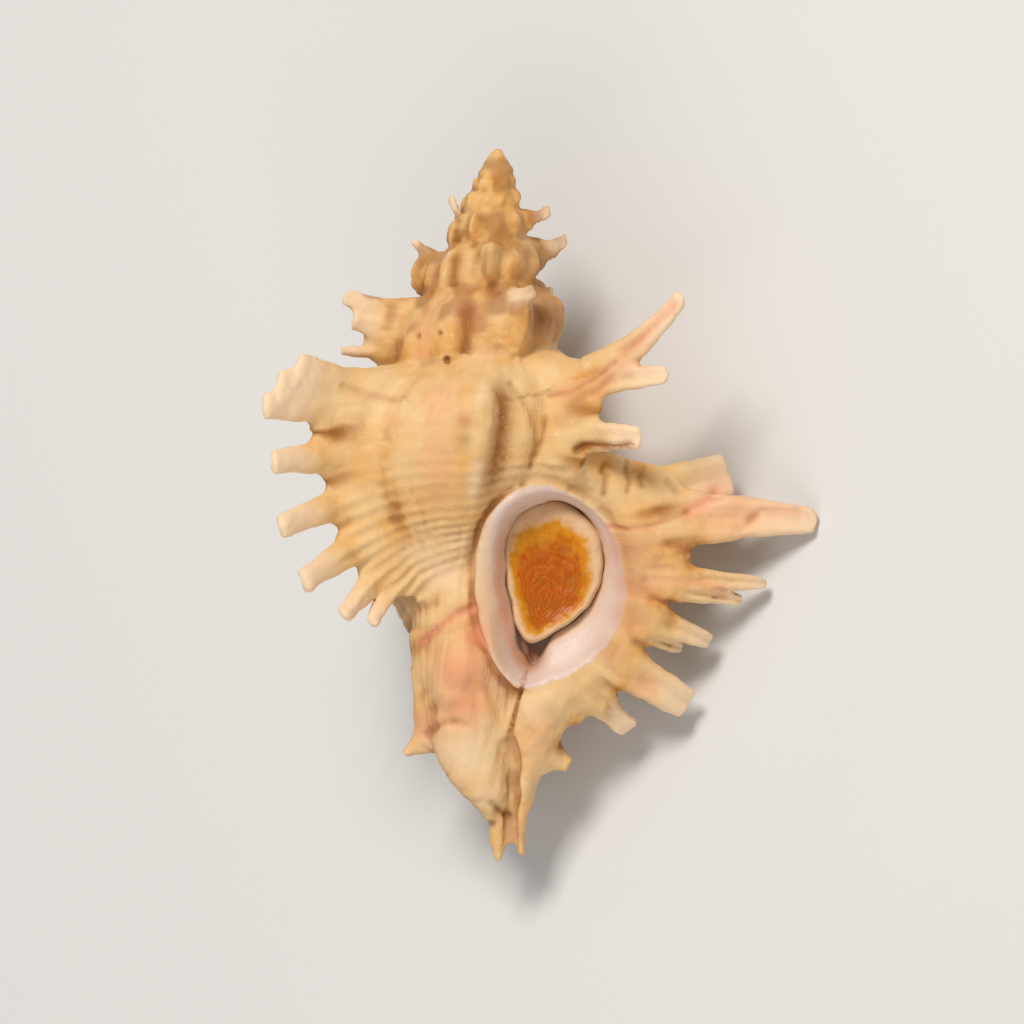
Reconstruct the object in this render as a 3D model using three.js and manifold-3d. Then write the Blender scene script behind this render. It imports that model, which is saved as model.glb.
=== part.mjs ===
// A spiny murex shell, about 60 mm long, lying on its back with the horny operculum lodged in its mouth.
// Units are millimetres. The shell is drawn as it looks from its mouth side, +X to the right, +Y to the
// spire and +Z out of the mouth, with its apex at the origin, and is then laid down on its spines, +Z up.
import * as THREE from "three";
import { LoftGeometry } from "three/addons/geometries/LoftGeometry.js";
import { mergeVertices } from "three/addons/utils/BufferGeometryUtils.js";
import Module from "manifold-3d";

const wasm = await Module();
wasm.setup();

// Growth: a whorl keeps its shape and shrinks by a fixed ratio for each turn back from the outer lip.
const TURN_GROWTH = 1.5;
const TURNS = 6;
const COLUMNS_PER_TURN = 29;
const COLUMNS_PER_VARIX = 9;
const COLUMN_STEP = 360 / COLUMNS_PER_TURN;
const VARIX_STEP = COLUMN_STEP * COLUMNS_PER_VARIX;
const VARIX_COUNT = 16;
const LIP_ANGLE = 345;
const AXIS_LEAN = 5;

// Whorl outline at the outer lip, as [distance from the axis, depth below the apex].
const WHORL_SIDE = [[8, 24], [10.4, 25.4], [12.5, 27.8], [13.7, 30.6], [13.9, 33.4], [13.1, 35.3]];
const LAST_TURN_EDGE = [12.9, 37.2];
const WHORL_BASE = [[11.9, 39.6], [10.1, 42.4], [8, 45.2], [6, 48], [4.4, 50.6], [3, 53]];
const BASE_POLE_DEPTH = 49;

// Axial ribs between two varices: column, height, and the share of it on each row of the whorl's side.
const RIBS = [{ column: 3, height: 0.7 }, { column: 5, height: 1.2 }, { column: 6, height: 0.5 }];
const RIB_ROW_SHARE = [0, 0.35, 0.9, 1, 0.8, 0.5];

// Varix wall: [depth, foot radius, edge radius, spread] down the whorl, and its section as
// [millimetres towards the lip for a spread of 1, share of the way from foot to edge].
const VARIX_WALL = [
  [24.6, 8.6, 12.4, 0.8], [26.6, 11.4, 18, 1], [29.6, 13.4, 19.6, 1], [33, 13.8, 19.2, 1],
  [37.4, 12.6, 17.4, 1], [41.8, 10.2, 15.6, 0.9], [45.6, 7.6, 13.6, 0.7], [48.4, 5.6, 8.6, 0.4],
];
const SPIRE_WALL = [
  [24.6, 8.6, 12, 0.8], [26.6, 11.4, 17.6, 1], [29.6, 13.4, 18.6, 1], [33, 13.8, 18, 1], [36.4, 12.4, 15.2, 0.9],
];
const WALL_SECTION = [[-5.2, -0.5], [-2.1, 0.35], [-0.7, 1], [0.5, 0.97], [0.9, 0.45], [1.9, -0.5]];

// Spines as root and tip [radius, depth] on a whorl of full size, and half width at root and tip.
// sag is how far the middle of a spine bows down from the straight line between its ends.
const LIP_SPINES = [
  { root: [14.5, 28.4], tip: [20.6, 25.6], width: [2.6, 1.8] },
  { root: [14.5, 30.4], tip: [30, 28.7], width: [2.9, 0.7] },
  { root: [17, 34.6], tip: [26.2, 34.2], width: [1.1, 0.45] },
  { root: [16.8, 35], tip: [24.1, 35.9], width: [1, 0.4] },
  { root: [16, 37.6], tip: [21.8, 39.6], width: [1.1, 0.6] },
  { root: [15.4, 39], tip: [19.2, 40.4], width: [0.9, 0.5] },
  { root: [14, 41.8], tip: [20.2, 45], width: [1.7, 1.2] },
  { root: [11, 43.4], tip: [15.2, 47.7], width: [1.5, 0.9] },
];
const BACK_SPINES = [
  { root: [12.6, 27], tip: [25.2, 22.6], width: [2.2, 1] },
  { root: [13.2, 29], tip: [23, 29.2], width: [1.7, 1.1] },
  { root: [14, 33.8], tip: [23, 35.8], width: [1.6, 1.2] },
  { root: [12.4, 38.4], tip: [22.6, 42], width: [1.7, 1.2] },
  { root: [11, 42.4], tip: [19, 47], width: [1.5, 1.1] },
  { root: [8.4, 45], tip: [14.4, 50.6], width: [1.3, 0.9] },
];
const LEFT_SPINES = [
  { root: [12, 27.4], tip: [21.8, 24.8], width: [1.7, 1.7] },
  { root: [12.4, 28], tip: [23.8, 27.3], width: [1.7, 1.7] },
  { root: [12.8, 29], tip: [25.5, 29.8], width: [1.7, 1.4] },
  { root: [14.6, 34.4], tip: [24.1, 35.6], width: [1.7, 1.3] },
  { root: [12.8, 38.4], tip: [22.5, 42.2], width: [1.7, 1.35] },
  { root: [11.2, 42.6], tip: [19.2, 47.6], width: [1.6, 1.3] },
  { root: [8.6, 45], tip: [14.3, 51], width: [1.4, 1.1] },
  { root: [6.4, 46], tip: [10.1, 50.4], width: [1, 0.6] },
];
const RIGHT_SPINES = [
  { root: [14, 28.4], tip: [29.7, 16], width: [2.6, 0.9], sag: 1.6 },
  { root: [15, 27.8], tip: [28.7, 26], width: [2.2, 1.1] },
  { root: [14.5, 34.2], tip: [25.3, 33.7], width: [1.9, 1.4] },
];
const BACK_SPIRE_SPINES = [
  { root: [12, 27.6], tip: [22, 25.4], width: [2, 1.1] },
  { root: [13.4, 32.6], tip: [20.8, 33.4], width: [1.6, 1.1] },
];
const LEFT_SPIRE_SPINES = [
  { root: [12, 28], tip: [21.9, 25.2], width: [2.4, 1.2] },
  { root: [13.4, 33.4], tip: [21.7, 33.8], width: [1, 0.6] },
];
const SHORT_SPINES = [{ root: [12, 28], tip: [20.4, 26], width: [2.2, 1.1] }];
const HORN_SPINES = [{ root: [12, 28], tip: [23.4, 26], width: [2.4, 1.2] }];
// The spines of each varix back from the lip; the ones not named here have none.
const VARIX_SPINES = [
  LIP_SPINES, BACK_SPINES, LEFT_SPINES, RIGHT_SPINES, BACK_SPIRE_SPINES, LEFT_SPIRE_SPINES,
  SHORT_SPINES, SHORT_SPINES, [], [], HORN_SPINES, [], [], HORN_SPINES,
];
const LAST_TURN_VARICES = 4;
// How far a spine's tip curls away from the lip side, on each varix back from the lip.
const SPINE_CURL = [3.6, 2, 2, 1, 1.5];
// Across a spine: [share of half width, share of thickness], the groove facing the lip side.
const SPINE_SECTION = [
  [-1, 0.1], [-0.7, -0.75], [0, -1], [0.7, -0.75], [1, 0.1], [0.6, 0.55], [0, 0.1], [-0.6, 0.55],
];
const SPINE_THICKNESS = [1.5, 0.6];
const SPINE_STEPS = [0, 0.45, 0.88, 1];
const SPINE_TIP_TAPER = 0.55;

// The mouth: outlines of its raised rim and of the opening in it, as they are seen.
const RIM_OUTLINE = [
  [3.9, -28], [1.4, -28.6], [-0.5, -30.3], [-1.5, -32.7], [-1.8, -35.6], [-1.6, -38.5], [-0.8, -41.4],
  [0.4, -43.8], [2, -45], [3.9, -44.5], [6.2, -43.7], [8.2, -42.3], [9.8, -40.2], [10.5, -37.7],
  [10.3, -34.8], [9.3, -31.8], [7.5, -29.8], [5.8, -28.7],
];
const MOUTH_OUTLINE = [
  [5.2, -29.6], [2.8, -30.3], [1.3, -32.3], [0.9, -35.2], [1.3, -38.1], [1.9, -41], [2.4, -43],
  [3.6, -42], [6, -40.8], [7.8, -39.1], [8.8, -36.7], [8.7, -33.9], [7.7, -31.4],
];
const MOUTH_CENTRE = [4.9, -36];
// Rim, opening and operculum as [height above the axis, scale of the outline], from the bottom up.
const RIM_LEVELS = [[-1, 1], [4.8, 1.02], [5.7, 0.94]];
const OPENING_LEVELS = [[2.2, 1], [4.3, 1.02], [5.4, 1.17], [7.2, 1.42]];
const OPERCULUM_LEVELS = [[2.1, 0.96], [2.5, 1], [2.9, 1], [3.3, 0.93]];

// The hollow whorl behind the mouth, to where it is narrow: degrees back from the lip, and its oval.
const CAVITY_TURNED = [22, 45, 70, 95, 120, 145];
const CAVITY_CENTRE = [8.3, 34];
const CAVITY_HALF_WIDTH = 3.6;
const CAVITY_HALF_HEIGHT = 5;

// The operculum fills the opening but for its pointed lower end.
const OPERCULUM_OUTLINE = [
  [5, -30.3], [3.3, -30.8], [1.9, -32.6], [1.5, -35.2], [1.8, -37.9], [2.3, -40.1], [3, -41],
  [5.3, -40.2], [7.1, -38.6], [8.2, -36.6], [8.1, -34], [7.2, -31.9],
];

// Strands: stations of [x, y, height, half width, half thickness] along each.
const PILLAR = [
  [-1.6, -33, 0.5, 2.4, 3.2], [-2.6, -37, 0.8, 3.4, 4], [-3, -41, 0.8, 3.6, 4.1], [-3, -44.5, 0.6, 3.2, 3.8],
  [-2.9, -46.8, 0.5, 2.2, 2.6],
];
const CANAL_LEFT = [
  [-1.4, -42, 1.6, 2.6, 3], [-2.2, -47, 1.2, 3.2, 2.9], [-2, -50.4, 0.8, 2.9, 2.4], [-0.9, -53.4, 0.3, 1.9, 1.8],
  [-0.6, -55.6, -0.2, 1.1, 1.1], [-0.1, -57.4, -0.7, 0.5, 0.6], [-0.1, -59.5, -1.2, 0.3, 0.4],
];
const CANAL_RIGHT = [
  [4.2, -44.2, 2.2, 3, 2.8], [3.2, -48, 1.4, 2, 2.5], [2.5, -51, 0.8, 1.6, 2], [2, -53.6, 0.3, 1, 1.4],
  [1.9, -56.4, -0.3, 0.5, 0.8], [1.9, -58.9, -0.8, 0.3, 0.4],
];
const CANAL_FLOOR = [
  [1.4, -45, 0.4, 2.6, 1.8], [0.8, -50, -0.5, 1.9, 1.2], [0.8, -54, -0.9, 1.3, 0.6], [0.9, -57.6, -1.3, 1, 0.35],
];
const CANAL_SPUR = [[2.6, -49.6, 0.9, 1.5, 1.3], [4.4, -50.6, 0.8, 1, 0.9], [5.9, -51.4, 0.7, 0.6, 0.6]];
const OLD_CANAL = [
  [-5.6, -40.5, -0.6, 2, 1.6], [-5.6, -45, -1, 1.6, 1.2], [-6.3, -48.4, -1.4, 1.1, 0.8], [-7.3, -50, -1.6, 0.5, 0.5],
];
const STRANDS = [PILLAR, CANAL_LEFT, CANAL_RIGHT, CANAL_FLOOR, CANAL_SPUR, OLD_CANAL];
const STRAND_SIDES = 8;
// The slit of the canal: stations of [x, y, height of its floor, half width].
const CANAL_SLIT = [
  [2.2, -43.4, 2.6, 0.35], [1.2, -48, 1.8, 0.3], [0.9, -51, 1.2, 0.3], [1, -54, 0.2, 0.45], [1, -59, -0.6, 0.7],
];
const SLIT_TOP = 7;

// How the shell lies, on its long lip spine and two spines of its back: leant over to the lip side,
// then tipped, then moved over its footprint, with the three tips worn flat by the floor.
const REST_ROLL = 35.52;
const REST_PITCH = 8.7;
const REST_SHIFT = [-3.44, 29.37, 17];
const FLOOR_BLOCK = [100, 100, 10];

const SHELL_FINISH = { color: 0xe6b277, roughness: 0.5, metalness: 0 };
const OPERCULUM_FINISH = { color: 0xb8660f, roughness: 0.35, metalness: 0 };

const radians = THREE.MathUtils.degToRad;
const FACING = new THREE.Vector3(0, 0, 1);
const MERGE_DISTANCE = 1e-4;

// A closed geometry as a solid that can be joined and cut.
function solidOf(geometry) {
  const bare = new THREE.BufferGeometry();
  bare.setAttribute("position", geometry.getAttribute("position"));
  bare.setIndex(geometry.index);
  const merged = mergeVertices(bare, MERGE_DISTANCE);
  const vertProperties = merged.getAttribute("position").array;
  return new wasm.Manifold(new wasm.Mesh({ numProp: 3, vertProperties, triVerts: new Uint32Array(merged.index.array) }));
}

function geometryOf(solid) {
  const mesh = solid.getMesh();
  const geometry = new THREE.BufferGeometry();
  geometry.setAttribute("position", new THREE.BufferAttribute(new Float32Array(mesh.vertProperties), 3));
  geometry.setIndex(new THREE.BufferAttribute(mesh.triVerts, 1));
  const faceted = geometry.toNonIndexed();
  faceted.computeVertexNormals();
  return faceted;
}

const centreOf = (section) =>
  section.reduce((sum, point) => sum.add(point), new THREE.Vector3()).divideScalar(section.length);

// A solid lofted through sections, whichever way round their points run.
function loft(sections) {
  const [first, second] = sections;
  const centre = centreOf(first);
  const facing = new THREE.Vector3();
  first.forEach((point, index) => {
    const next = first[(index + 1) % first.length];
    facing.add(point.clone().sub(centre).cross(next.clone().sub(centre)));
  });
  const forwards = facing.dot(centreOf(second).sub(centre)) > 0;
  const ordered = sections.map((section) => (forwards ? section : [...section].reverse()));
  return solidOf(new LoftGeometry(ordered, { capStart: true, capEnd: true }));
}

// The point at a radius and depth, given for a full-sized whorl, some degrees back from the outer lip.
// ahead moves it towards the lip, along the way the shell grows.
function whorlPoint(turned, radius, depth, ahead = 0) {
  const angle = radians(LIP_ANGLE + turned);
  const point = new THREE.Vector3(
    Math.cos(angle) * radius + Math.sin(angle) * ahead,
    -depth,
    Math.cos(angle) * ahead - Math.sin(angle) * radius,
  );
  const size = TURN_GROWTH ** (-turned / 360);
  return point.multiplyScalar(size).applyAxisAngle(FACING, -radians(AXIS_LEAN));
}

function ribHeight(column) {
  const rib = RIBS.find((one) => one.column === column % COLUMNS_PER_VARIX);
  return rib ? rib.height : 0;
}

// The coiled body: a strip wound round the axis, the lower edge of each turn sewn to the next one's
// upper edge, closed by a fan at the apex, by the base of the last turn and by the end face at the lip.
function coiledBody() {
  const columnCount = TURNS * COLUMNS_PER_TURN;
  const points = [];
  const faces = [];
  const addPoint = (point) => points.push(point) - 1;
  const addFace = (...corners) => {
    if (new Set(corners).size === corners.length) faces.push(...corners);
  };
  const columns = [];
  for (let back = 0; back <= columnCount; back++) {
    const turned = back * COLUMN_STEP;
    const rib = ribHeight(back);
    const side = WHORL_SIDE.map(([radius, depth], row) => whorlPoint(turned, radius + rib * RIB_ROW_SHARE[row], depth));
    columns.push(side.map(addPoint));
  }
  const apex = addPoint(new THREE.Vector3());
  const pole = addPoint(whorlPoint(0, 0, BASE_POLE_DEPTH));
  columns.forEach((column, back) => {
    if (back >= COLUMNS_PER_TURN) column.push(columns[back - COLUMNS_PER_TURN][0]);
    if (back > COLUMNS_PER_TURN) return;
    const turned = back * COLUMN_STEP;
    const base = back < COLUMNS_PER_TURN ? [LAST_TURN_EDGE, ...WHORL_BASE] : WHORL_BASE;
    base.forEach(([radius, depth]) => column.push(addPoint(whorlPoint(turned, radius, depth))));
    column.push(pole);
  });
  for (let back = columnCount; back > 0; back--) {
    const older = columns[back];
    const younger = columns[back - 1];
    for (let row = 0; row + 1 < Math.min(older.length, younger.length); row++) {
      addFace(older[row], younger[row + 1], older[row + 1]);
      addFace(older[row], younger[row], younger[row + 1]);
    }
    if (back > columnCount - COLUMNS_PER_TURN) addFace(apex, younger[0], older[0]);
  }
  const start = columns[columnCount];
  for (let row = 0; row + 1 < start.length; row++) addFace(apex, start[row], start[row + 1]);
  const innerBase = columns[COLUMNS_PER_TURN].slice(WHORL_SIDE.length + 1, -1);
  const endFace = [...columns[0], ...innerBase.reverse()];
  const innerOutline = WHORL_BASE.map(([radius, depth]) => [radius / TURN_GROWTH, depth / TURN_GROWTH]);
  const outline = [...WHORL_SIDE, LAST_TURN_EDGE, ...WHORL_BASE, [0, BASE_POLE_DEPTH], ...innerOutline.reverse()];
  const flat = outline.map(([radius, depth]) => new THREE.Vector2(radius, -depth));
  THREE.ShapeUtils.triangulateShape(flat, []).forEach(([a, b, c]) => addFace(endFace[a], endFace[b], endFace[c]));
  const geometry = new THREE.BufferGeometry();
  geometry.setAttribute("position", new THREE.Float32BufferAttribute(points.flatMap((point) => point.toArray()), 3));
  geometry.setIndex(faces);
  return solidOf(geometry);
}

// The raised wall of a varix, steep towards the lip and gentle behind.
function varixWall(turned, wall) {
  return loft(wall.map(([depth, foot, edge, spread]) =>
    WALL_SECTION.map(([ahead, share]) => whorlPoint(turned, foot + (edge - foot) * share, depth, ahead * spread))));
}

// A spine, grooved on the side that faces the lip and curling away from it.
function spine(turned, curl, { root, tip, width, sag = 0 }) {
  const run = [tip[0] - root[0], tip[1] - root[1]];
  const length = Math.hypot(...run);
  const across = [-run[1] / length, run[0] / length];
  return loft(SPINE_STEPS.map((step) => {
    const bow = sag * (1 - (2 * step - 1) ** 2);
    const taper = step === 1 ? SPINE_TIP_TAPER : 1;
    const halfWidth = THREE.MathUtils.lerp(...width, step) * taper;
    const thickness = THREE.MathUtils.lerp(...SPINE_THICKNESS, step) * taper;
    return SPINE_SECTION.map(([sideways, up]) => {
      const offset = sideways * halfWidth + bow;
      const radius = root[0] + run[0] * step + across[0] * offset;
      const depth = root[1] + run[1] * step + across[1] * offset;
      return whorlPoint(turned, radius, depth, up * thickness - curl * step ** 2);
    });
  }));
}

function varix(count) {
  const turned = count * VARIX_STEP;
  const wall = count < LAST_TURN_VARICES ? VARIX_WALL : SPIRE_WALL;
  const curl = SPINE_CURL[Math.min(count, SPINE_CURL.length - 1)];
  const spines = VARIX_SPINES[count] ?? [];
  return [varixWall(turned, wall), ...spines.map((one) => spine(turned, curl, one))];
}

// Copies of one outline, scaled about the middle of the mouth, one for each level.
function mouthSections(outline, levels) {
  return levels.map(([height, scale]) => outline.map(([x, y]) => new THREE.Vector3(
    MOUTH_CENTRE[0] + (x - MOUTH_CENTRE[0]) * scale,
    MOUTH_CENTRE[1] + (y - MOUTH_CENTRE[1]) * scale,
    height,
  )));
}

// The hollow behind the mouth: the opening's outline turns into an oval that follows the whorl.
function cavity() {
  const opening = mouthSections(MOUTH_OUTLINE, OPENING_LEVELS).reverse();
  const inner = CAVITY_TURNED.map((turned) => MOUTH_OUTLINE.map((_, index) => {
    const around = (index / MOUTH_OUTLINE.length) * 2 * Math.PI;
    const radius = CAVITY_CENTRE[0] - Math.sin(around) * CAVITY_HALF_WIDTH;
    const depth = CAVITY_CENTRE[1] - Math.cos(around) * CAVITY_HALF_HEIGHT;
    return whorlPoint(turned, radius, depth);
  }));
  return loft([...opening, ...inner]);
}

// A rounded strand through stations, flattened by its own half thickness.
function strand(stations) {
  return loft(stations.map(([x, y, z, halfWidth, halfThickness], index) => {
    const before = stations[Math.max(index - 1, 0)];
    const after = stations[Math.min(index + 1, stations.length - 1)];
    const along = new THREE.Vector3(after[0] - before[0], after[1] - before[1], 0).normalize();
    return Array.from({ length: STRAND_SIDES }, (_, side) => {
      const around = ((side + 0.5) / STRAND_SIDES) * 2 * Math.PI;
      const sideways = Math.cos(around) * halfWidth;
      return new THREE.Vector3(x - along.y * sideways, y + along.x * sideways, z + Math.sin(around) * halfThickness);
    });
  }));
}

function canalSlit() {
  return loft(CANAL_SLIT.map(([x, y, floor, halfWidth]) => [
    new THREE.Vector3(x - halfWidth, y, floor),
    new THREE.Vector3(x + halfWidth, y, floor),
    new THREE.Vector3(x + halfWidth, y, SLIT_TOP),
    new THREE.Vector3(x - halfWidth, y, SLIT_TOP),
  ]));
}

const part = new THREE.Group();
part.position.set(...REST_SHIFT);
const specimen = new THREE.Group();
specimen.rotation.set(radians(REST_PITCH), radians(REST_ROLL), 0);
part.add(specimen);
part.updateMatrixWorld(true);

// The floor under the shell as it lies, as the shell itself is drawn.
function floorBlock() {
  const block = new THREE.BoxGeometry(...FLOOR_BLOCK).translate(0, 0, -FLOOR_BLOCK[2] / 2);
  return solidOf(block.applyMatrix4(specimen.matrixWorld.clone().invert()));
}

function shell() {
  const varices = Array.from({ length: VARIX_COUNT }, (_, count) => varix(count)).flat();
  const rim = loft(mouthSections(RIM_OUTLINE, RIM_LEVELS));
  const added = [...varices, rim, ...STRANDS.map(strand)];
  const whole = added.reduce((sum, solid) => sum.add(solid), coiledBody());
  return [cavity(), canalSlit(), floorBlock()].reduce((rest, cut) => rest.subtract(cut), whole);
}

function addPiece(name, solid, finish) {
  const mesh = new THREE.Mesh(geometryOf(solid), new THREE.MeshStandardMaterial(finish));
  mesh.name = name;
  specimen.add(mesh);
}
addPiece("shell", shell(), SHELL_FINISH);
addPiece("operculum", loft(mouthSections(OPERCULUM_OUTLINE, OPERCULUM_LEVELS)), OPERCULUM_FINISH);
export default part;
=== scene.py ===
"""Dresses a spiny murex shell: the coiled body, its varices with their open spines, the white mouth with
the horny operculum in it, and the canal, on a pale floor under soft light.

The shell is drawn in millimetres as it looks from its mouth side: X to the right, Y towards the spire,
Z out of the mouth, with the apex at the origin. It is then laid down on its spines, in metres."""

import math

import bpy
import numpy as np
import openvdb
from bpy.props import FloatProperty, FloatVectorProperty, IntProperty
from mathutils import Matrix, Vector


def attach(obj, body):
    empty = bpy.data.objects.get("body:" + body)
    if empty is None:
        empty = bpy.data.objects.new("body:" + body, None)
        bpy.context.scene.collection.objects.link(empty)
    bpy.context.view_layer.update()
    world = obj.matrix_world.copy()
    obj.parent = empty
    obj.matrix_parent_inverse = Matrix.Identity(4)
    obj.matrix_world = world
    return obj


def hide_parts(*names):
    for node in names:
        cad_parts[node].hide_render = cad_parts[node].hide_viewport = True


bl_info = {
    "name": "Murex shell",
    "version": (1, 0, 0),
    "blender": (4, 5, 0),
    "location": "3D View > Sidebar > Murex",
    "description": "Builds a spiny murex shell with its operculum, on a floor under soft light",
    "category": "Add Mesh",
}

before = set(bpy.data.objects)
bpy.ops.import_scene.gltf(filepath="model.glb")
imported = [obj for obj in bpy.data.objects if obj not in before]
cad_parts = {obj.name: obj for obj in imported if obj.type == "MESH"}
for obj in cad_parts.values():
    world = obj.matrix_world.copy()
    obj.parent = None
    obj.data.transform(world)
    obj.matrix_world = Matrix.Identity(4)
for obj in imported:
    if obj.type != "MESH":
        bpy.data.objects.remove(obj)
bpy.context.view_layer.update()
MM = 0.001
FULL_TURN = 2 * math.pi

# The spiral, and how the shell lies.
TURN_GROWTH = 1.5
TURNS = 7.5
VARIX_STEP = 360 * 9 / 29
LIP_ANGLE = 345
AXIS_LEAN = 5
REST_ROLL = 35.52
REST_PITCH = 8.7
REST_SHIFT = (-3.44, 29.37, 17)

# Whorl outline at the outer lip, as (distance from the axis, depth below the apex).
WHORL_SIDE = (
    (8, 24), (10.4, 25.4), (12.5, 27.8), (13.7, 30.6), (13.9, 33.4), (13.5, 35.6), (12.8, 37.8), (11.7, 40),
    (10.1, 42.4), (8, 45.2), (6, 48), (4.4, 50.6), (3, 53),
)
WHORL_CORE = ((0, 49), (0, 24))
OUTLINE_STATIONS = 60
COIL_SEAM = 0.1
# A core inside the spire, as (depth, radius), which keeps the sutures shallow and the apex blunt.
SPIRE_CORE = (
    (0.02, 0.2), (0.35, 0.5), (1, 0.78), (2, 1.05), (3.2, 1.4), (4.6, 1.75), (6.5, 2.3), (9, 3.1),
    (13, 4.6), (18, 6.5), (23, 8.4),
)
CORE_STATIONS = 40
CORE_SIDES = 64
CORE_SEAM = 0.9
# How much wider the whorls are at the very apex, as a share, and over what depth they swell.
APEX_SWELL = 1.2
APEX_REACH = 2.6

# The suture is where one whorl meets the next: the top of the outline, and how it slopes outwards.
SUTURE_RADIUS, SUTURE_DEPTH = WHORL_SIDE[0]
SUTURE_SLOPE = 0.15
# Beyond this radius and below this depth, spines stand above their own whorl's suture.
SPINES_OUT = 16.5
SPINES_DOWN = 14
# The distance to a seam where none is near.
FAR_SEAM = 9.0
# How far round, in degrees, the front of the lip begins, and the height above which the front is seen.
LIP_FRONT = 290
FRONT_BEGINS = -6

# Ribs between two varices, with the way from one to the next as one: (place, half width).
WEAK_RIB = (0.29, 0.08)
STRONG_RIB = 0.585
# The higher rib is narrower behind: (from, to, half width before, half width after).
STRONG_RIB_STEEPENS = (0.56, 0.64, 0.1, 0.065)
VALLEY = (0.71, 0.055)
# The ribs grow below the suture and away from the axis, and fade towards the canal.
RIBS_BEGIN = (24.6, 29)
RIBS_FADE = (33, 46, 1.0, 0.15)
RIBS_OFF_AXIS = (1, 6)

# Varix wall as (depth, foot radius, edge radius, spread), and how thick it is at its foot.
VARIX_WALL = (
    (24.4, 8.2, 12, 0.7), (25.4, 10, 16, 0.9), (27, 11.8, 18.4, 1), (29.6, 13, 19.6, 1),
    (33, 13.4, 19.2, 1), (37.4, 12.2, 17.4, 1), (41.8, 10, 15.6, 0.9), (45.6, 7.4, 13.4, 0.75),
    (48.6, 5.4, 8.6, 0.5),
)
SPIRE_WALL = (
    (24.4, 8.2, 11.8, 0.7), (25.4, 10, 15.6, 0.9), (27, 11.8, 17.8, 1), (29.6, 13, 18.6, 1),
    (33, 13.4, 18, 1), (36.4, 12, 15.2, 0.9),
)
WALL_THICKNESS = 2.3
WALL_TAPER = 0.72
WALL_ROOT = 0.6
WALL_SEAM = 1.6
LAST_TURN_VARICES = 4
VARIX_COUNT = 22

# Spines: root and tip as (radius, depth) on a whorl of full size, half width at root and tip, and sag.
LIP_SPINES = (
    ((14.5, 28.4), (21.4, 25.6), (2.6, 2), 0),
    ((14.5, 30.2), (29.2, 28.6), (2.9, 1), -0.3),
    ((16.6, 34.4), (25.4, 34.2), (1.2, 0.5), 0),
    ((16.6, 35), (23.3, 35.8), (1.1, 0.45), 0),
    ((15.6, 37.5), (21, 39.4), (1.4, 0.65), 0),
    ((15.2, 38.8), (18.5, 40.1), (1, 0.5), 0),
    ((13.6, 41.4), (19.6, 44.8), (1.8, 1.3), 0),
    ((11, 43.4), (14.7, 47.3), (1.5, 0.95), 0),
)
BACK_SPINES = (
    ((12.6, 27), (25.2, 22.6), (2.2, 1), 0.8),
    ((13.2, 29), (23, 29.2), (1.7, 1.1), 0),
    ((14, 33.8), (23, 35.8), (1.6, 1.2), 0),
    ((12.4, 38.4), (22.6, 42), (1.7, 1.2), 0),
    ((11, 42.4), (19, 47), (1.5, 1.1), 0),
    ((8.4, 45), (14.4, 50.6), (1.3, 0.9), 0),
)
LEFT_SPINES = (
    ((12, 27.6), (22.9, 25.5), (1.8, 1.7), 0),
    ((12.4, 28.2), (25, 27.7), (1.8, 1.9), 0),
    ((12.8, 29.2), (26.4, 29.9), (1.7, 1.5), 0),
    ((14.2, 34.2), (24.8, 35.7), (1.8, 1.35), 0),
    ((12.8, 38.4), (23.2, 42.5), (1.8, 1.35), 0),
    ((11.2, 42.6), (19.9, 48.1), (1.7, 1.3), 0),
    ((8.6, 45), (14.7, 51.5), (1.5, 1.1), 0),
    ((6.4, 46), (11.4, 51.9), (1.1, 0.65), 0),
)
RIGHT_SPINES = (
    ((14, 28.4), (29.9, 16.3), (2.8, 1), 1.6),
    ((17.5, 26), (28.4, 18.8), (1.6, 0.6), 0.6),
    ((15, 27.8), (28.8, 26), (2.3, 1.1), 0),
    ((14.5, 34.2), (25.5, 33.8), (2, 1.4), 0),
)
BACK_SPIRE_SPINES = (((12, 27.6), (22, 25.4), (2, 1.1), 0), ((13.4, 32.6), (20.8, 33.4), (1.6, 1.1), 0))
LEFT_SPIRE_SPINES = (
    ((12, 28), (22.3, 25.2), (2.6, 1.3), 0),
    ((13, 30), (20.4, 28.8), (2.2, 1.8), 0),
    ((13.4, 33.4), (22, 33.8), (1.1, 0.7), 0),
)
NODE_SPINES = (((11.5, 29.5), (16.8, 24.8), (2.6, 1.5), 0),)
SHORT_SPINES = (((12, 28.6), (21.2, 27.4), (2.3, 1.2), 0.4),)
CORNER_SPINES = (((13, 27), (18.4, 22.4), (2.4, 0.9), 0),)
LEFT_HORN_SPINES = (((12, 27), (19.6, 16.4), (2.3, 1.1), 0.8),)
HORN_SPINES = (((12.4, 28.6), (25.2, 24), (3.6, 1.9), 1.6),)
VARIX_SPINES = (
    LIP_SPINES, BACK_SPINES, LEFT_SPINES, RIGHT_SPINES, BACK_SPIRE_SPINES, LEFT_SPIRE_SPINES,
    NODE_SPINES, SHORT_SPINES, CORNER_SPINES, (), HORN_SPINES, LEFT_HORN_SPINES, (), HORN_SPINES,
)
# How far the spines of each varix bend back at their tips, with the last value for all older ones.
SPINE_CURL = (3.6, 2, 2, 1, 1.5)
SPINE_THICKNESS = (1.5, 0.65)
SPINE_GROOVE = 0.85
GROOVE_POWER = 4
SPINE_SEAM = 0.9
# How near a spine a point is marked as its own, and how much more worn the small early spines are.
SPINE_REACH = 2
SPINE_EDGE = 0.35
MOST_WORN = 1.8
# Stations crowd towards a spine's tip, which is rounded over its last share but stays a little flat.
SPINE_STATION_POWER = 0.8
TIP_START = 0.97
TIP_LENGTH = 0.03
TIP_FLATNESS = 0.02

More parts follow.
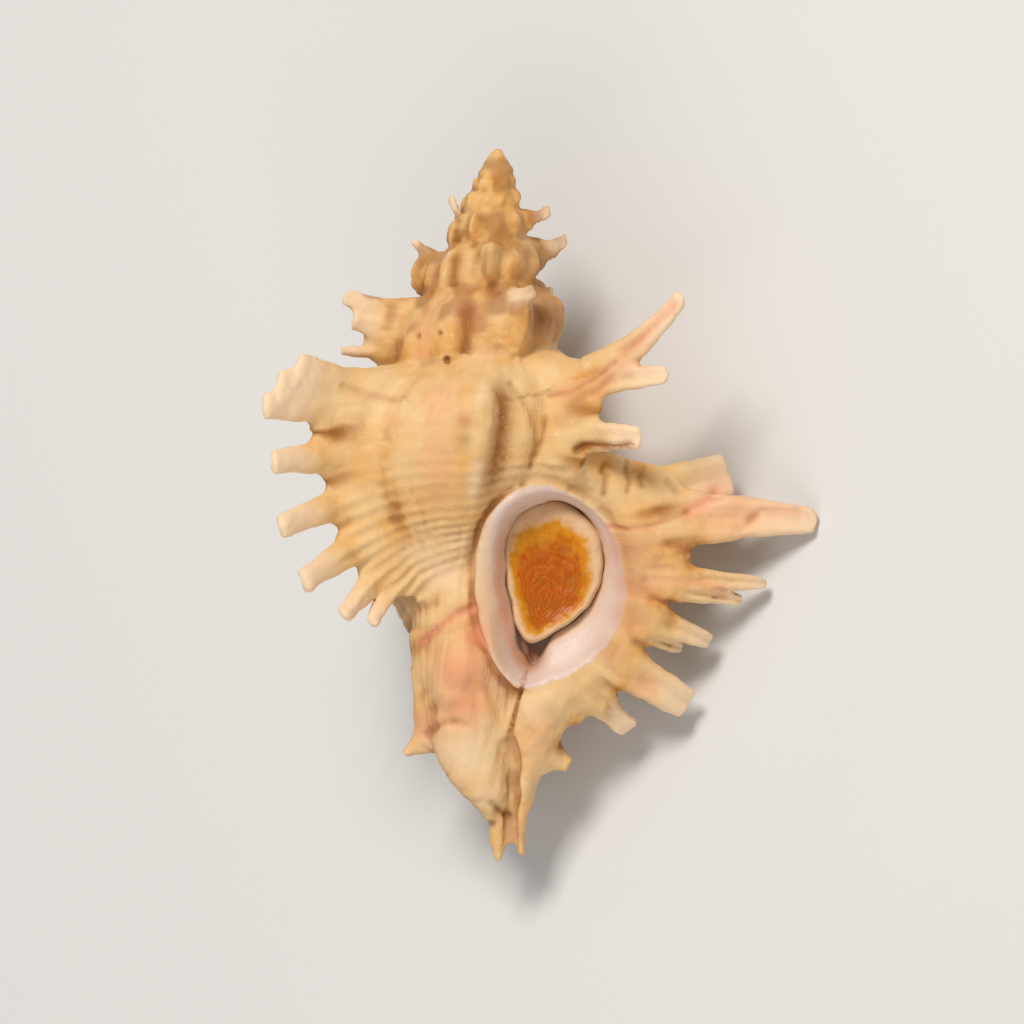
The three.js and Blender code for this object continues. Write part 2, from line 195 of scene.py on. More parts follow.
# Where the front of the lip begins, as (depth below the apex, distance to the right of the axis).
LIP_FOOT = (
    (24, 9.9), (26, 9.2), (28.5, 7.2), (30, 5.4), (43, 5.4), (48, 5.3), (51, 5.4), (55, 5.9), (60, 6.1),
)

# Rays that the cords follow, as two points each: from the suture down, along the spines, to the canal.
FIRST_RAYS = (((8, 24), (12, 22)),)
LAST_RAYS = (((6.4, 48), (9.5, 53.5)), ((3, 52), (5, 60)))
RAY_SPINES = {0: (0, 1, 2, 4, 6, 7), 1: (0, 1, 2, 3, 4, 5), 3: (0, 2, 3)}
PLAIN_RAY_SPINES = (0, 2, 3, 4, 5, 6)

# The mouth: its rim as (x, y, height), and the opening inside it, as they are seen from the front.
RIM = (
    (3.9, -28, 6.5), (1.4, -28.6, 7.5), (-0.5, -30.3, 7.3), (-1.5, -32.7, 6.6), (-1.8, -35.6, 6.2),
    (-1.6, -38.5, 5.9), (-0.8, -41.4, 5.5), (0.4, -43.8, 5), (2, -45, 4.6), (3.9, -44.5, 4.5),
    (6.2, -43.7, 4.5), (8.2, -42.3, 4.5), (9.8, -40.2, 4.6), (10.5, -37.7, 4.8), (10.3, -34.8, 5.1),
    (9.3, -31.8, 5.4), (7.5, -29.8, 5.7), (5.8, -28.7, 6),
)
OPENING = (
    (5, -29.4), (3, -29.6), (1.4, -30.5), (0.5, -32.6), (0.6, -34.8), (1, -37.6), (1.5, -39.8), (1.85, -42),
    (2.3, -44.8), (3, -42.3), (4.3, -40.4), (5.4, -39.8), (7, -38.6), (8.2, -36.9), (8.7, -35.4),
    (8.7, -33.4), (8.3, -31.8), (7.3, -30.6), (6.1, -29.8),
)
MOUTH_CENTRE = (4.9, -36)
MOUTH_RAYS = 180
# The rim's collar and the moat round it, as (height above the rim, scale about the middle).
COLLAR_LEVELS = ((-5.5, 0.86), (-1.6, 0.97), (-0.7, 1.02), (-0.25, 1.03), (0.05, 0.98), (0.15, 0.9))
MOAT_LEVELS = ((-0.55, 0.98), (0.1, 1.06), (1.2, 1.16), (5, 1.22))
# Across the lip, from the opening (0) to the rim (1): its inner slope, on the axis side and opposite.
AXIS_SIDE_SLOPE = ((-3.4, -0.08), (-2, 0.02), (-1.1, 0.2), (-0.5, 0.36), (0, 0.54), (1.2, 0.7))
OUTER_SIDE_SLOPE = ((-3.4, -0.06), (-1.9, 0.04), (-1.35, 0.34), (-0.75, 0.7), (-0.1, 0.99), (1.2, 1.1))
BEAD_SHARE = 0.16
MOAT_SEAM = 1.2
COLLAR_SEAM = 0.5
# The hollow behind the opening: how far back it turns, and (radius, depth, half width, half height).
CAVITY_TURNED = (22, 45, 70, 95, 120, 145)
CAVITY_OVAL = (8.3, 34, 3.6, 5)
CAVITY_SEAM = 0.4
OPERCULUM_OUTLINE = (
    (4.7, -29.3), (3.1, -29.5), (1.4, -30.5), (0.4, -32.7), (0.6, -35), (1.1, -37.7), (1.5, -39.8),
    (1.95, -40.8), (2.8, -41.3), (3.7, -41), (4.3, -40.5), (5.3, -39.9), (6.9, -38.8), (8.2, -37.1),
    (8.7, -35.5), (8.75, -33.4), (8.35, -31.8), (7.35, -30.7), (6.1, -29.8),
)
OPERCULUM_NUCLEUS = (3.9, -38)
OPERCULUM_HEIGHT = 2.5
MERGE_DISTANCE = 0.001

# Strands of the pillar, the canal and the shoulder: (x, y, height, half width, half thickness).
PILLAR = (
    (-1.6, -33, 0.5, 2.4, 3.2), (-2.6, -37, 0.8, 3.4, 3.8), (-3, -41, 0.7, 3.6, 3.4),
    (-3, -44.5, 0.4, 3.2, 3), (-2.9, -46.8, 0.3, 2.2, 2.2),
)
CANAL_LEFT = (
    (-1.4, -42, 1.6, 2.6, 3), (-2.2, -47, 1.2, 3.2, 2.9), (-2, -50.4, 0.8, 2.9, 2.4),
    (-1, -53.4, 0.5, 1.9, 1.8), (-0.7, -54.8, 0.2, 1.2, 1.3), (-0.5, -55.9, -0.1, 0.6, 0.8),
)
CANAL_PRONG = (
    (0.1, -53.6, 0, 0.9, 0.9), (0.2, -55.6, -0.3, 0.65, 0.7), (0.2, -57.4, -0.7, 0.55, 0.5),
    (0, -59.4, -1.1, 0.2, 0.3),
)
CANAL_RIGHT = (
    (4.2, -44.2, 2.2, 3, 2.8), (3.2, -48, 1.4, 2, 2.5), (2.5, -51, 0.8, 1.6, 2), (2, -53.6, 0.3, 1, 1.4),
    (1.9, -56.4, -0.3, 0.5, 0.8), (1.9, -58.9, -0.8, 0.3, 0.4),
)
CANAL_FLOOR = (
    (1.4, -45, 0.4, 2.6, 1.8), (0.8, -50, -0.5, 1.9, 1.2), (0.8, -54, -0.9, 1.3, 0.6),
    (0.9, -57.6, -1.3, 1, 0.35),
)
CANAL_SPUR = ((2.6, -49.6, 0.9, 1.5, 1.3), (4.4, -50.6, 0.8, 1, 0.9), (5.9, -51.4, 0.7, 0.6, 0.6))
OLD_CANAL = (
    (-5, -40.5, 0.4, 2.3, 1.7), (-4.8, -45, 0.2, 2.1, 1.5), (-5.2, -47.9, -0.2, 1.9, 1.1),
    (-6.1, -49.3, -0.4, 1.15, 0.7), (-7, -50, -0.6, 0.6, 0.45), (-7.7, -50.5, -0.7, 0.25, 0.3),
)
BULGE = (
    (-1.7, -40, 2.6, 1.2, 1.4), (-2.4, -41.6, 2.6, 2.1, 2.5), (-2.9, -43.6, 2.4, 2.6, 3),
    (-3.1, -45.4, 2, 2.4, 2.7), (-2.9, -46.9, 1.6, 1.5, 1.7),
)
SHOULDER_FILL = (
    (3.2, -24.8, 4.6, 1.6, 1.8), (5.4, -26, 4.6, 2.4, 2), (7.4, -27.2, 4.6, 2.6, 2),
    (9.4, -28.8, 4.4, 2.4, 1.7), (11, -30.6, 4, 1.6, 1.4),
)
STRANDS = (
    PILLAR, SHOULDER_FILL, CANAL_LEFT, CANAL_PRONG, CANAL_RIGHT, CANAL_FLOOR, CANAL_SPUR, OLD_CANAL, BULGE,
)
STRAND_SEAM = 1.2
SHARP_STRANDS = (BULGE, CANAL_PRONG)
SHARP_SEAM = 0.5
# The open slit of the canal: (x, y, height of its floor, half width).
CANAL_SLIT = (
    (1, -48.6, 2.9, 0.15), (1.25, -49.8, 2.2, 0.35), (1.45, -51.4, 1.6, 0.48), (1.35, -53.2, 0.9, 0.55),
    (1.2, -55, 0.2, 0.55), (1.1, -57, -0.5, 0.55), (1, -59.6, -1, 0.6),
)
SLIT_TOP = 7
SLIT_STATIONS = 16
SLIT_SEAM = 0.25

# Creases drawn on the front: (line of x and y, half width, depth, pink, brown), with the brown as painted
# shade in the crease.
CREASES = (
    (((6.5, -25.3), (7, -24.9), (8.2, -24.8), (9.5, -25.1), (10.7, -24.9)), 0.36, 0.6, 0, 0.9),
    (((8.8, -26.2), (8.6, -26.9), (9, -27.4), (8.7, -28.9)), 0.3, 0.3, 0, 0.5),
    (((10.7, -25.9), (10.5, -26.9), (10.9, -27.9), (10.7, -28.6)), 0.22, 0.2, 0, 0.6),
    (((12.1, -26.6), (11.7, -27.4), (11.9, -28.2)), 0.22, 0.18, 0, 0.5),
    (((14.1, -27.8), (14.8, -28.6)), 0.3, 0.2, 0, 0.3),
    (((9.1, -31.5), (10.8, -31.8), (12.4, -31.5), (14.1, -31), (15.8, -30.3)), 0.2, 0.22, 0.5, 0.4),
    (((15.8, -30.3), (17.2, -29.5), (18.1, -28.8)), 0.5, 0.4, 0.9, 0),
    (((20.2, -31.6), (21.8, -30.3), (23.2, -30.2), (24.9, -30.3)), 0.4, 0.25, 0.5, 0),
    (((12, -36), (13.5, -35.9), (15.2, -36), (16.8, -36.2), (18.5, -36.8)), 0.3, 0.2, 0.55, 0.1),
    (((4.3, -20.7), (6, -20.5), (7.2, -19.8), (8.5, -19), (9.5, -18.1)), 0.22, 0.2, 0.5, 0.3),
    (((9.5, -18.1), (10.6, -17.2), (11.8, -16.1), (13.2, -14.5), (14.3, -13.5)), 0.3, 0.1, 0.5, 0.1),
    (((7.8, -20.7), (9.5, -18.9), (10.6, -18.2), (11.8, -18.1)), 0.35, 0.2, 0.5, 0),
    (((1, -19.8), (2, -21), (2.7, -22.2), (3.2, -23.7), (3.2, -24.8), (2.7, -26.4)), 0.25, 0.16, 0, 0.35),
    (((3.9, -22.6), (3.8, -23.9), (3.5, -24.9), (2.7, -26.8)), 0.2, 0.14, 0, 0.35),
    (((-12.7, -20), (-11.3, -20.4), (-9.8, -20.9), (-8.4, -21.1), (-7.8, -20.8)), 0.3, 0.2, 0, 0.25),
    (((-6.1, -41), (-4.7, -39.8), (-3.2, -38.7), (-1.9, -38.2)), 0.35, 0.3, 0.8, 0.1),
    (((-5.9, -48.9), (-4.8, -48), (-3.7, -47.7), (-2.6, -48)), 0.35, 0.3, 0.4, 0.15),
    (((-0.5, -54.5), (0.1, -55.1), (0.8, -55.6)), 0.3, 0.3, 0, 0.4),
    (((2.35, -43.6), (2.1, -44.4), (1.7, -45.8), (1.35, -47.1), (1.05, -48.6)), 0.14, 0.6, 0, 1),
)
# Bored pits on the front: (x, y, radius).
PITS = ((-4.8, -15.6, 0.22), (-4.2, -17.8, 0.32), (-6.6, -15.8, 0.2))
PIT_DEPTH = 0.45
PIT_BROWN = 0.7
# Stains on the front: (x, y, radius, pink, brown). The brown on the right of the spire, beside the right of
# the rim and in the gully below the operculum is painted shade.
STAINS_AND_SHADE = (
    (-3, -43.6, 2.6, 1, 0), (-2.8, -46, 2.1, 1, 0), (-1.9, -40.8, 1.5, 0.9, 0), (-4.4, -41.5, 1.2, 0.4, 0),
    (-6.2, -48, 1.6, 0.7, 0), (-0.9, -45, 0.5, 0.2, 0.4), (-2.7, -22.9, 0.75, 0, 0.5),
    (-2.8, -24.4, 0.75, 0, 0.5), (1.2, -57, 1, 0.3, 0.3), (10.8, -33.4, 1.7, 0.5, 0.5),
    (11.4, -36.2, 1.7, 0.5, 0.5), (11, -39, 1.6, 0.4, 0.5), (9.4, -42, 1.5, 0.2, 0.45),
    (2.5, -42.3, 1.2, 0.5, 1), (4.4, -46.6, 1, 0, 0.25), (8, -44.6, 1.3, 0, 0.35), (13, -32.5, 2.2, 0.3, 0),
    (19, -30.5, 3, 0.5, 0), (12.5, -36.4, 1.8, 0.4, 0.2), (6.8, -20.2, 1.6, 0.35, 0),
    (12, -44.8, 1.4, 0.5, 0), (3, -49, 2, 0.35, 0), (6.5, -44.8, 2, 0, 0.2), (8.4, -27, 2.4, 0, 0.25),
    (-2.8, -22.6, 0.5, 0.6, 0.1), (-8.4, -23, 0.7, 0.4, 0.1), (-4.6, -28.6, 1.2, 0.2, 0.1),
    (3.8, -14.2, 1.9, 0, 1), (3.6, -11.2, 1.4, 0, 0.9), (2.6, -8.8, 1, 0, 0.6), (1.7, -6.6, 0.8, 0, 0.4),
    (1.1, -3.6, 0.7, 0, 0.35), (0.5, -8.8, 0.5, 0, 0.35), (-1.3, -9.4, 0.5, 0, 0.4), (-3, -14, 2, 0.3, 0.1),
)
# Painted shade in the notches between the spines, as brown wrinkled by the folds: (x, y, radius, brown).
NOTCH_SHADE = (
    (7.9, -22.2, 0.9, 1), (7, -25.3, 0.8, 0.8), (8.8, -26.6, 0.9, 0.6), (11.4, -27, 1, 0.5),
    (16.2, -33.4, 1, 1), (16, -34.4, 0.9, 1), (14.6, -38.9, 0.9, 1), (12.4, -41.7, 0.9, 1),
    (10.2, -45.3, 0.9, 0.9), (6.4, -48, 0.9, 0.9), (5.3, -49.6, 0.8, 0.8), (-16.4, -22.6, 1, 0.8),
    (-14.8, -26, 1, 0.9), (-14.4, -30, 0.9, 0.9), (-12.4, -34, 0.9, 0.9), (-12.4, -15.8, 0.9, 0.6),
)
# Painted light on the front, as pale places: (x, y, radius, strength).
PALE_PLACES = (
    (-2.8, -50.4, 2.6, 0.8), (-1.4, -53.6, 1.4, 0.6), (0, -44.6, 1, 0.8), (0.7, -46.2, 0.9, 0.6),
    (-4.4, -35.4, 2, 0.7), (-6.2, -33.6, 1.5, 0.4), (-3.4, -33, 1.4, 0.5), (3.6, -46.6, 1.6, 0.5),
    (0.6, -12.8, 1.4, 0.5), (-1, -17.4, 1, 0.4), (-9.8, -22, 3, 0.3), (18.1, -29.2, 1.9, 0.8),
    (22.6, -30.4, 3, 0.7), (15.2, -45.8, 2, 0.8), (10.4, -47.6, 1.6, 0.7), (14.2, -13.6, 2, 0.6),
    (12.6, -18.4, 1.8, 0.5), (-18.4, -20, 2.4, 0.6), (10.6, -24, 1.4, 0.5), (16.8, -40.4, 1.4, 0.4),
    (-17.2, -30.8, 1.4, 0.5), (-18, -26, 1.4, 0.6),
)

# Every limb is swept through this many stations, with a section of this many sides.
STATIONS = 26
LIMB_SIDES = 20

# The carving grid: its corners in the drawing, and how far from the surface it is exact, in cells.
GRID_LOW = np.array((-21, -61.5, -24))
GRID_HIGH = np.array((30, 1.5, 14.5))
BAND = 6.0
JOIN = 1
CUT = -1
# How far round a point its hollows are felt, close by and more widely, for the painted shade in them.
HOLLOW_REACHES = (0.7, 2.2)

# Relief on the shell, with heights in millimetres. SMOOTH_PLACE is (x, y, radius).
CORDS_PER_RAY = 3
CORD_SHARPNESS = 1.4
SMOOTH_PLACE = (-3.6, -35.4, 3.2)
THREADS_PER_RAY = 9
THREAD_HEIGHT = 0.0125
FINE_THREADS_PER_RAY = 14
BEADS_PER_VARIX = 3
BEAD_HEIGHT = 0.26
# The ribs that fan out over the bulge of the pillar.
BULGE_MIDDLE = (-3, -44.6)
BULGE_REACH = (2.8, 3)
BULGE_FAN = (-2.6, -41)
BULGE_RIBS = 22
BULGE_RIB_HEIGHT = 0.14

# Noises by name: (how far apart their ups and downs are, seed, how high they go).
NOISE_CELLS = 32
NOISES = {
    "cord wander": (4, 1, 0.12), "cord strength": (3, 2, 0.8), "growth lines": (1, 3, 0.09),
    "folds": (1, 4, 1), "scales": (1, 5, 0.13), "shoulder knobs": (1, 6, 0.24),
    "fine grain": (0.55, 7, 0.5), "grain": (1.7, 8, 1), "glaze swells": (1.3, 9, 0.04),
    "glaze grain": (0.5, 10, 0.02), "rim beads": (0.45, 11, 1), "thread patches": (2.5, 12, 1),
    "tip grain": (0.5, 14, 0.06),
    "spire lumps": (0.9, 15, 0.1), "spire grain": (0.4, 16, 0.05), "ragged glaze": (0.9, 17, 0.16),
    "ragged edge": (0.4, 18, 0.08), "notch wrinkles": (0.7, 19, 0.6), "spire stains": (1.5, 20, 1),
    "notch grain": (0.75, 21, 0.26), "edge across": (0.9, 21, 0.08), "edge along": (0.9, 22, 0.08),
}

# The photo's view: its size and scale in pixels and where the apex is, with the camera in millimetres.
PHOTO_SIZE = 1024
PHOTO_SCALE = 12
PHOTO_APEX = (498, 148)
CAMERA_DISTANCE = 600
SENSOR = 36
CLIP_START = 0.01
# Lamps: place to the side, up and out of the picture, in metres, with power, size and colour.
LAMPS = {
    "key": ((-0.24, 0.44, 0.6), 4.6, 0.24, (1, 0.97, 0.93)),
    "fill": ((-0.14, -0.5, 0.5), 1.8, 0.6, (1, 0.98, 0.96)),
}
SKY_STRENGTH = 0.3
FLOOR_REACH = 1
FLOOR_ROUGHNESS = 0.9


def length(name, use, default, **limits):
    return FloatProperty(name=name, description=use + ", in millimetres", default=default, **limits)


def tint(name, use, colour):
    return FloatVectorProperty(name=name, description=use, subtype="COLOR", default=colour)


class ShellSizes(bpy.types.PropertyGroup):
    cell: length("Carving cell", "Size of the carving grid's cells", 0.2, min=0.1)
    triangles: IntProperty(name="Triangles", description="Most triangles of the shell", default=190000)
    weak_rib: length("Weak rib", "Height of the lower rib between varices", 0.5)
    valley: length("Valley", "Depth of the valley behind the higher rib", 0.7)
    strong_rib: length("Strong rib", "Height of the higher rib between varices", 1.4)
    cord: length("Cord", "Height of the spiral cords", 0.34)
    fold: length("Fold", "Height of the folds between the spines", 0.3)
    grain: length("Grain", "Height of the worn grain of the surface", 0.1)


class ShellColours(bpy.types.PropertyGroup):
    cream: tint("Cream", "Main colour of the shell", (0.79, 0.525, 0.245))
    # Gold is the warmer patches, and also painted shade in the wider hollows and the notches.
    gold: tint("Gold", "Warmer patches of the shell", (0.75, 0.38, 0.1))
    # Ochre is painted shade in the hollows, creases and notches, and the colour of the brown stains.
    ochre: tint("Ochre", "Deep hollows of the shell", (0.28, 0.085, 0.01))
    # Pale is the worn tips, and a painted highlight on the crests and the pale places.
    pale: tint("Pale", "Worn tips and crests", (0.9, 0.66, 0.44))
    # Pink is the seams and stains, and also painted shade on the inner slope of the lip by the pillar.
    pink: tint("Pink", "Seams and stains", (0.8, 0.32, 0.17))
    # Umber is painted shade, on the bands between the ribs and in the gully of the mouth, and the colour of
    # the stains in the mouth.
    umber: tint("Umber", "Shaded bands between the ribs", (0.34, 0.115, 0.016))
    porcelain: tint("Porcelain", "Glaze of the mouth", (0.72, 0.55, 0.46))
    amber: tint("Amber", "Horny middle of the operculum", (0.43, 0.075, 0.001))
    honey: tint("Honey", "Brighter outer rings of the operculum", (0.68, 0.29, 0.01))
    chalk: tint("Chalk", "Margin of the operculum", (0.71, 0.45, 0.25))
    floor: tint("Floor", "Colour of the floor", (0.72, 0.71, 0.69))


def step_between(low, high, values):
    """Nothing below low, one above high, and eased between them."""
    share = np.clip((values - low) / (high - low), 0, 1)
    return share * share * (3 - 2 * share)


def bump_at(values, centre, width):
    """One at the centre, and nothing a couple of widths away."""
    return np.exp(-(((values - centre) / width) ** 2))


def within(low, full, last, high, values):
    """One from full to last, and eased to nothing at low and high."""
    return step_between(low, full, values) * (1 - step_between(last, high, values))


def spot_at(points, x, y, reach):
    """A round bump about a place on the front."""
    return bump_at(np.hypot(points[:, 0] - x, points[:, 1] - y), 0, reach)


def angles(count):
    """Even steps round a circle, in radians."""
    return np.arange(count) / count * FULL_TURN


def lean(points, degrees):
    return points @ np.array(Matrix.Rotation(math.radians(degrees), 3, "Z")).T


def unit(vectors):
    return vectors / np.maximum(np.linalg.norm(vectors, axis=-1, keepdims=True), 1e-9)


def whorl_size(turned):
    """The size of the whorl turned degrees back from the lip, where it is one."""
    return TURN_GROWTH ** (-turned / 360)


def whorl_point(turned, radius, depth, ahead=0):
    """Points at a radius and depth on a whorl of full size, turned degrees back from the lip."""
    turned, radius, depth, ahead = np.broadcast_arrays(turned, radius, depth, ahead)
    angle = np.radians(LIP_ANGLE + turned)
    across = np.cos(angle) * radius + np.sin(angle) * ahead
    towards = np.cos(angle) * ahead - np.sin(angle) * radius
    return lean(np.stack((across, -depth, towards), axis=-1) * whorl_size(turned)[..., None], -AXIS_LEAN)


def laid_down(points):
    """Drawing millimetres to the frame's metres, as the shell lies on the floor."""
    pitch = Matrix.Rotation(math.radians(REST_PITCH), 3, "X")
    roll = Matrix.Rotation(math.radians(REST_ROLL), 3, "Y")
    return (points @ np.array(pitch @ roll).T + np.array(REST_SHIFT)) * MM


def spread_stations(table, count=STATIONS):
    """The rows of a table of sizes at even steps along it, eased from one row to the next."""
    table = np.array(table, dtype=float)
    at = np.linspace(0, len(table) - 1, count)
    left = np.minimum(at.astype(int), len(table) - 2)
    share = (at - left)[:, None]
    slopes = np.gradient(table, axis=0)
    start, end, rise_in, rise_out = table[left], table[left + 1], slopes[left], slopes[left + 1]
    return (
        start * (1 + 2 * share) * (1 - share) ** 2 + rise_in * share * (1 - share) ** 2
        + end * share**2 * (3 - 2 * share) + rise_out * share**2 * (share - 1)
    )


def blended(values, low, share):
    """A grid's values between the cells at low and the next ones, at a share of the way on each axis."""
    total = np.zeros(len(low))
    for corner in np.ndindex(2, 2, 2):
        weight = np.prod(np.where(corner, share, 1 - share), axis=1)
        total += weight * values[tuple(((low + corner) % values.shape).T)]
    return total


def noise_at(points, name):
    """One of the noises, as high above nothing at points as it is deep below it."""
    period, seed, height = NOISES[name]
    values = np.random.default_rng(seed).uniform(-1, 1, (NOISE_CELLS,) * 3)
    at = points / period
    low = np.floor(at).astype(int)
    return blended(values, low, step_between(0, 1, at - low)) * height


class Nodes:
    """Adds nodes to a tree and joins them up."""

    def __init__(self, tree):
        self.tree = tree

    def feed(self, node, inputs):
        """Joins sockets to a node's inputs, and sets the others to plain values."""
        for place, value in inputs.items() if isinstance(inputs, dict) else enumerate(inputs):
            if isinstance(value, bpy.types.NodeSocket):
                self.tree.links.new(value, node.inputs[place])
            elif value is not None:
                node.inputs[place].default_value = value
        return node

    def add(self, kind, inputs=(), **settings):
        node = self.tree.nodes.new(kind)
        for name, value in settings.items():
            setattr(node, name, value)
        return self.feed(node, inputs)

    def out(self, kind, inputs=(), **settings):
        """The first output of a new node."""
        return self.add(kind, inputs, **settings).outputs[0]

    def math(self, operation, *values, clamp=False):
        return self.out("ShaderNodeMath", values, operation=operation, use_clamp=clamp)

    def times(self, value, *others):
        for other in others:
            value = self.math("MULTIPLY", value, other)
        return value

    def plus(self, value, *others, clamp=False):
        for other in others:
            value = self.math("ADD", value, other, clamp=clamp and other is others[-1])
        return value

    def minus(self, first, second):
        return self.math("SUBTRACT", first, second)

    def vector(self, operation, first, second):
        return self.out("ShaderNodeVectorMath", (first, second), operation=operation)

    def scaled(self, direction, factor):
        return self.out("ShaderNodeVectorMath", {0: direction, "Scale": factor}, operation="SCALE")

    def ramp(self, value, low, high, start=0.0, end=1.0):
        """A value eased from start to end while it goes from low to high."""
        return self.out("ShaderNodeMapRange", {
            "Value": value, "From Min": low, "From Max": high, "To Min": start, "To Max": end,
        }, interpolation_type="SMOOTHSTEP")

    def bump(self, value, centre, width):
        """A rounded bump, one at the centre and nothing a couple of widths away."""
        offset = self.math("DIVIDE", self.minus(value, centre), width)
        return self.math("EXPONENT", self.times(offset, offset, -1.0))

    def painted(self, colour, *layers):
        """A colour with layers over it, each with its share and its own colour."""
        for share, over in layers:
            colour = self.add("ShaderNodeMix", {0: share, 6: colour, 7: over}, data_type="RGBA").outputs[2]
        return colour

    def attribute(self, name):
        return self.add("ShaderNodeAttribute", attribute_name=name).outputs["Fac"]

    def noise(self, vector, scale, detail=2.0, rough=0.5):
        return self.add("ShaderNodeTexNoise", {
            "Vector": vector, "Scale": scale, "Detail": detail, "Roughness": rough,
        }).outputs["Fac"]

    def waver(self, vector, scale, detail):
        """Noise that goes up to a quarter above and below nothing."""
        return self.times(self.minus(self.noise(vector, scale, detail), 0.5), 0.5)

    def kept(self, geometry, kind, value):
        """A geometry that keeps a field's value, and the kept value."""
        node = self.add("GeometryNodeCaptureAttribute", (geometry,))
        node.capture_items.new(kind, "Kept")
        return self.feed(node, {1: value}).outputs[:2]

    def kept_places(self, curve):
        return self.kept(curve, "VECTOR", self.out("GeometryNodeInputPosition"))

    def even_curve(self, curve, count):
        return self.out("GeometryNodeResampleCurve", {"Curve": curve, "Count": count})

    def even_line(self, count):
        """A plain line of points, and how far along it each one is."""
        line = self.even_curve(self.out("GeometryNodeCurvePrimitiveLine"), count)
        return self.kept(line, "FLOAT", self.add("GeometryNodeSplineParameter").outputs["Factor"])

    def swept(self, curve, profile, capped):
        return self.out("GeometryNodeCurveToMesh", {
            "Curve": curve, "Profile Curve": profile, "Fill Caps": capped,
        })

    def moved(self, geometry, places):
        return self.out("GeometryNodeSetPosition", {"Geometry": geometry, "Position": places})

    def finish(self, geometry, material, output):
        real = self.out("GeometryNodeRealizeInstances", (geometry,))
        painted = self.out("GeometryNodeSetMaterial", {"Geometry": real, "Material": material})
        self.tree.links.new(painted, output[0])


def geometry_tree(name, sizes):
    """An empty geometry tree with named inputs: a dict of name to (socket kind, default)."""
    tree = bpy.data.node_groups.new(name, "GeometryNodeTree")
    for way in ("INPUT", "OUTPUT"):
        tree.interface.new_socket("Geometry", in_out=way, socket_type="NodeSocketGeometry")
    for label, (kind, default) in sizes.items():
        socket = tree.interface.new_socket(label, in_out="INPUT", socket_type="NodeSocket" + kind)
        if default is not None:
            socket.default_value = default
    nodes = Nodes(tree)
    return tree, nodes, nodes.add("NodeGroupInput").outputs, nodes.add("NodeGroupOutput").inputs


def coil_tree():
    """Winds the whorl's outline, given as one closed line in X and Y, round the axis."""
    tree, nodes, given, output = geometry_tree("Coiled whorls", {
        "Turns": ("Float", TURNS),
        "Growth per turn": ("Float", TURN_GROWTH),
        "Lip angle": ("Float", LIP_ANGLE),
        "Varix spacing": ("Float", VARIX_STEP),
        "Weak rib": ("Float", None),
        "Strong rib": ("Float", None),
        "Valley": ("Float", None),
        "Apex swell": ("Float", APEX_SWELL),
        "Apex reach": ("Float", APEX_REACH),
        "Columns per turn": ("Int", 180),
        "Outline points": ("Int", 150),
        "Material": ("Material", None),
    })
    outline = nodes.out("GeometryNodeMeshToCurve", (given["Geometry"],))
    section, drawn = nodes.kept_places(nodes.even_curve(outline, given["Outline points"]))
    line, along = nodes.even_line(nodes.times(given["Columns per turn"], given["Turns"]))
    turned = nodes.times(along, given["Turns"], 360)
    radius, depth, _ = nodes.add("ShaderNodeSeparateXYZ", (drawn,)).outputs
    size = nodes.math("POWER", given["Growth per turn"], nodes.math("DIVIDE", turned, -360))
    between = nodes.math("FRACT", nodes.math("DIVIDE", turned, given["Varix spacing"]))
    weak = nodes.times(nodes.bump(between, *WEAK_RIB), given["Weak rib"])
    steep = nodes.ramp(between, *STRONG_RIB_STEEPENS)
    strong = nodes.times(nodes.bump(between, STRONG_RIB, steep), given["Strong rib"])
    valley = nodes.times(nodes.bump(between, *VALLEY), given["Valley"])
    ribs = nodes.plus(weak, nodes.minus(strong, valley))
    share = nodes.times(
        nodes.ramp(depth, *RIBS_BEGIN), nodes.ramp(depth, *RIBS_FADE), nodes.ramp(radius, *RIBS_OFF_AXIS),
    )
    radius = nodes.plus(radius, nodes.times(ribs, share))
    down = nodes.times(depth, size)
    from_apex = nodes.math("DIVIDE", down, given["Apex reach"])
    swell = nodes.times(nodes.math("EXPONENT", nodes.times(from_apex, -1)), given["Apex swell"])
    reach = nodes.times(radius, size, nodes.plus(swell, 1))
    angle = nodes.math("RADIANS", nodes.plus(turned, given["Lip angle"]))
    placed = nodes.out("ShaderNodeCombineXYZ", (
        nodes.times(nodes.math("COSINE", angle), reach),
        nodes.times(down, -1),
        nodes.times(nodes.math("SINE", angle), reach, -1),
    ))
    nodes.finish(nodes.moved(nodes.swept(line, section, True), placed), given["Material"], output)
    return tree


def limb_tree():
    """Sweeps a flattened section along guide lines, which carry the section's directions and sizes."""
    tree, nodes, given, output = geometry_tree("Swept limbs", {
        "Sides": ("Int", LIMB_SIDES),
        "Material": ("Material", None),
    })

    def carried(name, kind="FLOAT"):
        return nodes.out("GeometryNodeInputNamedAttribute", {"Name": name}, data_type=kind)

    line, middle = nodes.kept_places(nodes.out("GeometryNodeMeshToCurve", (given["Geometry"],)))
    circle = nodes.out("GeometryNodeCurvePrimitiveCircle", {"Resolution": given["Sides"]})
    ring, round_it = nodes.kept_places(circle)
    sideways, upwards, _ = nodes.add("ShaderNodeSeparateXYZ", (round_it,)).outputs
    off_middle = nodes.minus(1, nodes.times(sideways, sideways))
    above = nodes.math("GREATER_THAN", upwards, 0)
    dip = nodes.times(nodes.math("POWER", off_middle, GROOVE_POWER), carried("groove"), above)
    thin = nodes.minus(1, nodes.times(sideways, carried("taper")))
    wide = nodes.times(sideways, carried("half_width"))
    high = nodes.times(upwards, nodes.minus(1, dip), thin, carried("half_thickness"))
    placed = nodes.vector("ADD", middle, nodes.scaled(carried("across", "FLOAT_VECTOR"), wide))
    placed = nodes.vector("ADD", placed, nodes.scaled(carried("rise", "FLOAT_VECTOR"), high))
    nodes.finish(nodes.moved(nodes.swept(line, ring, True), placed), given["Material"], output)
    return tree


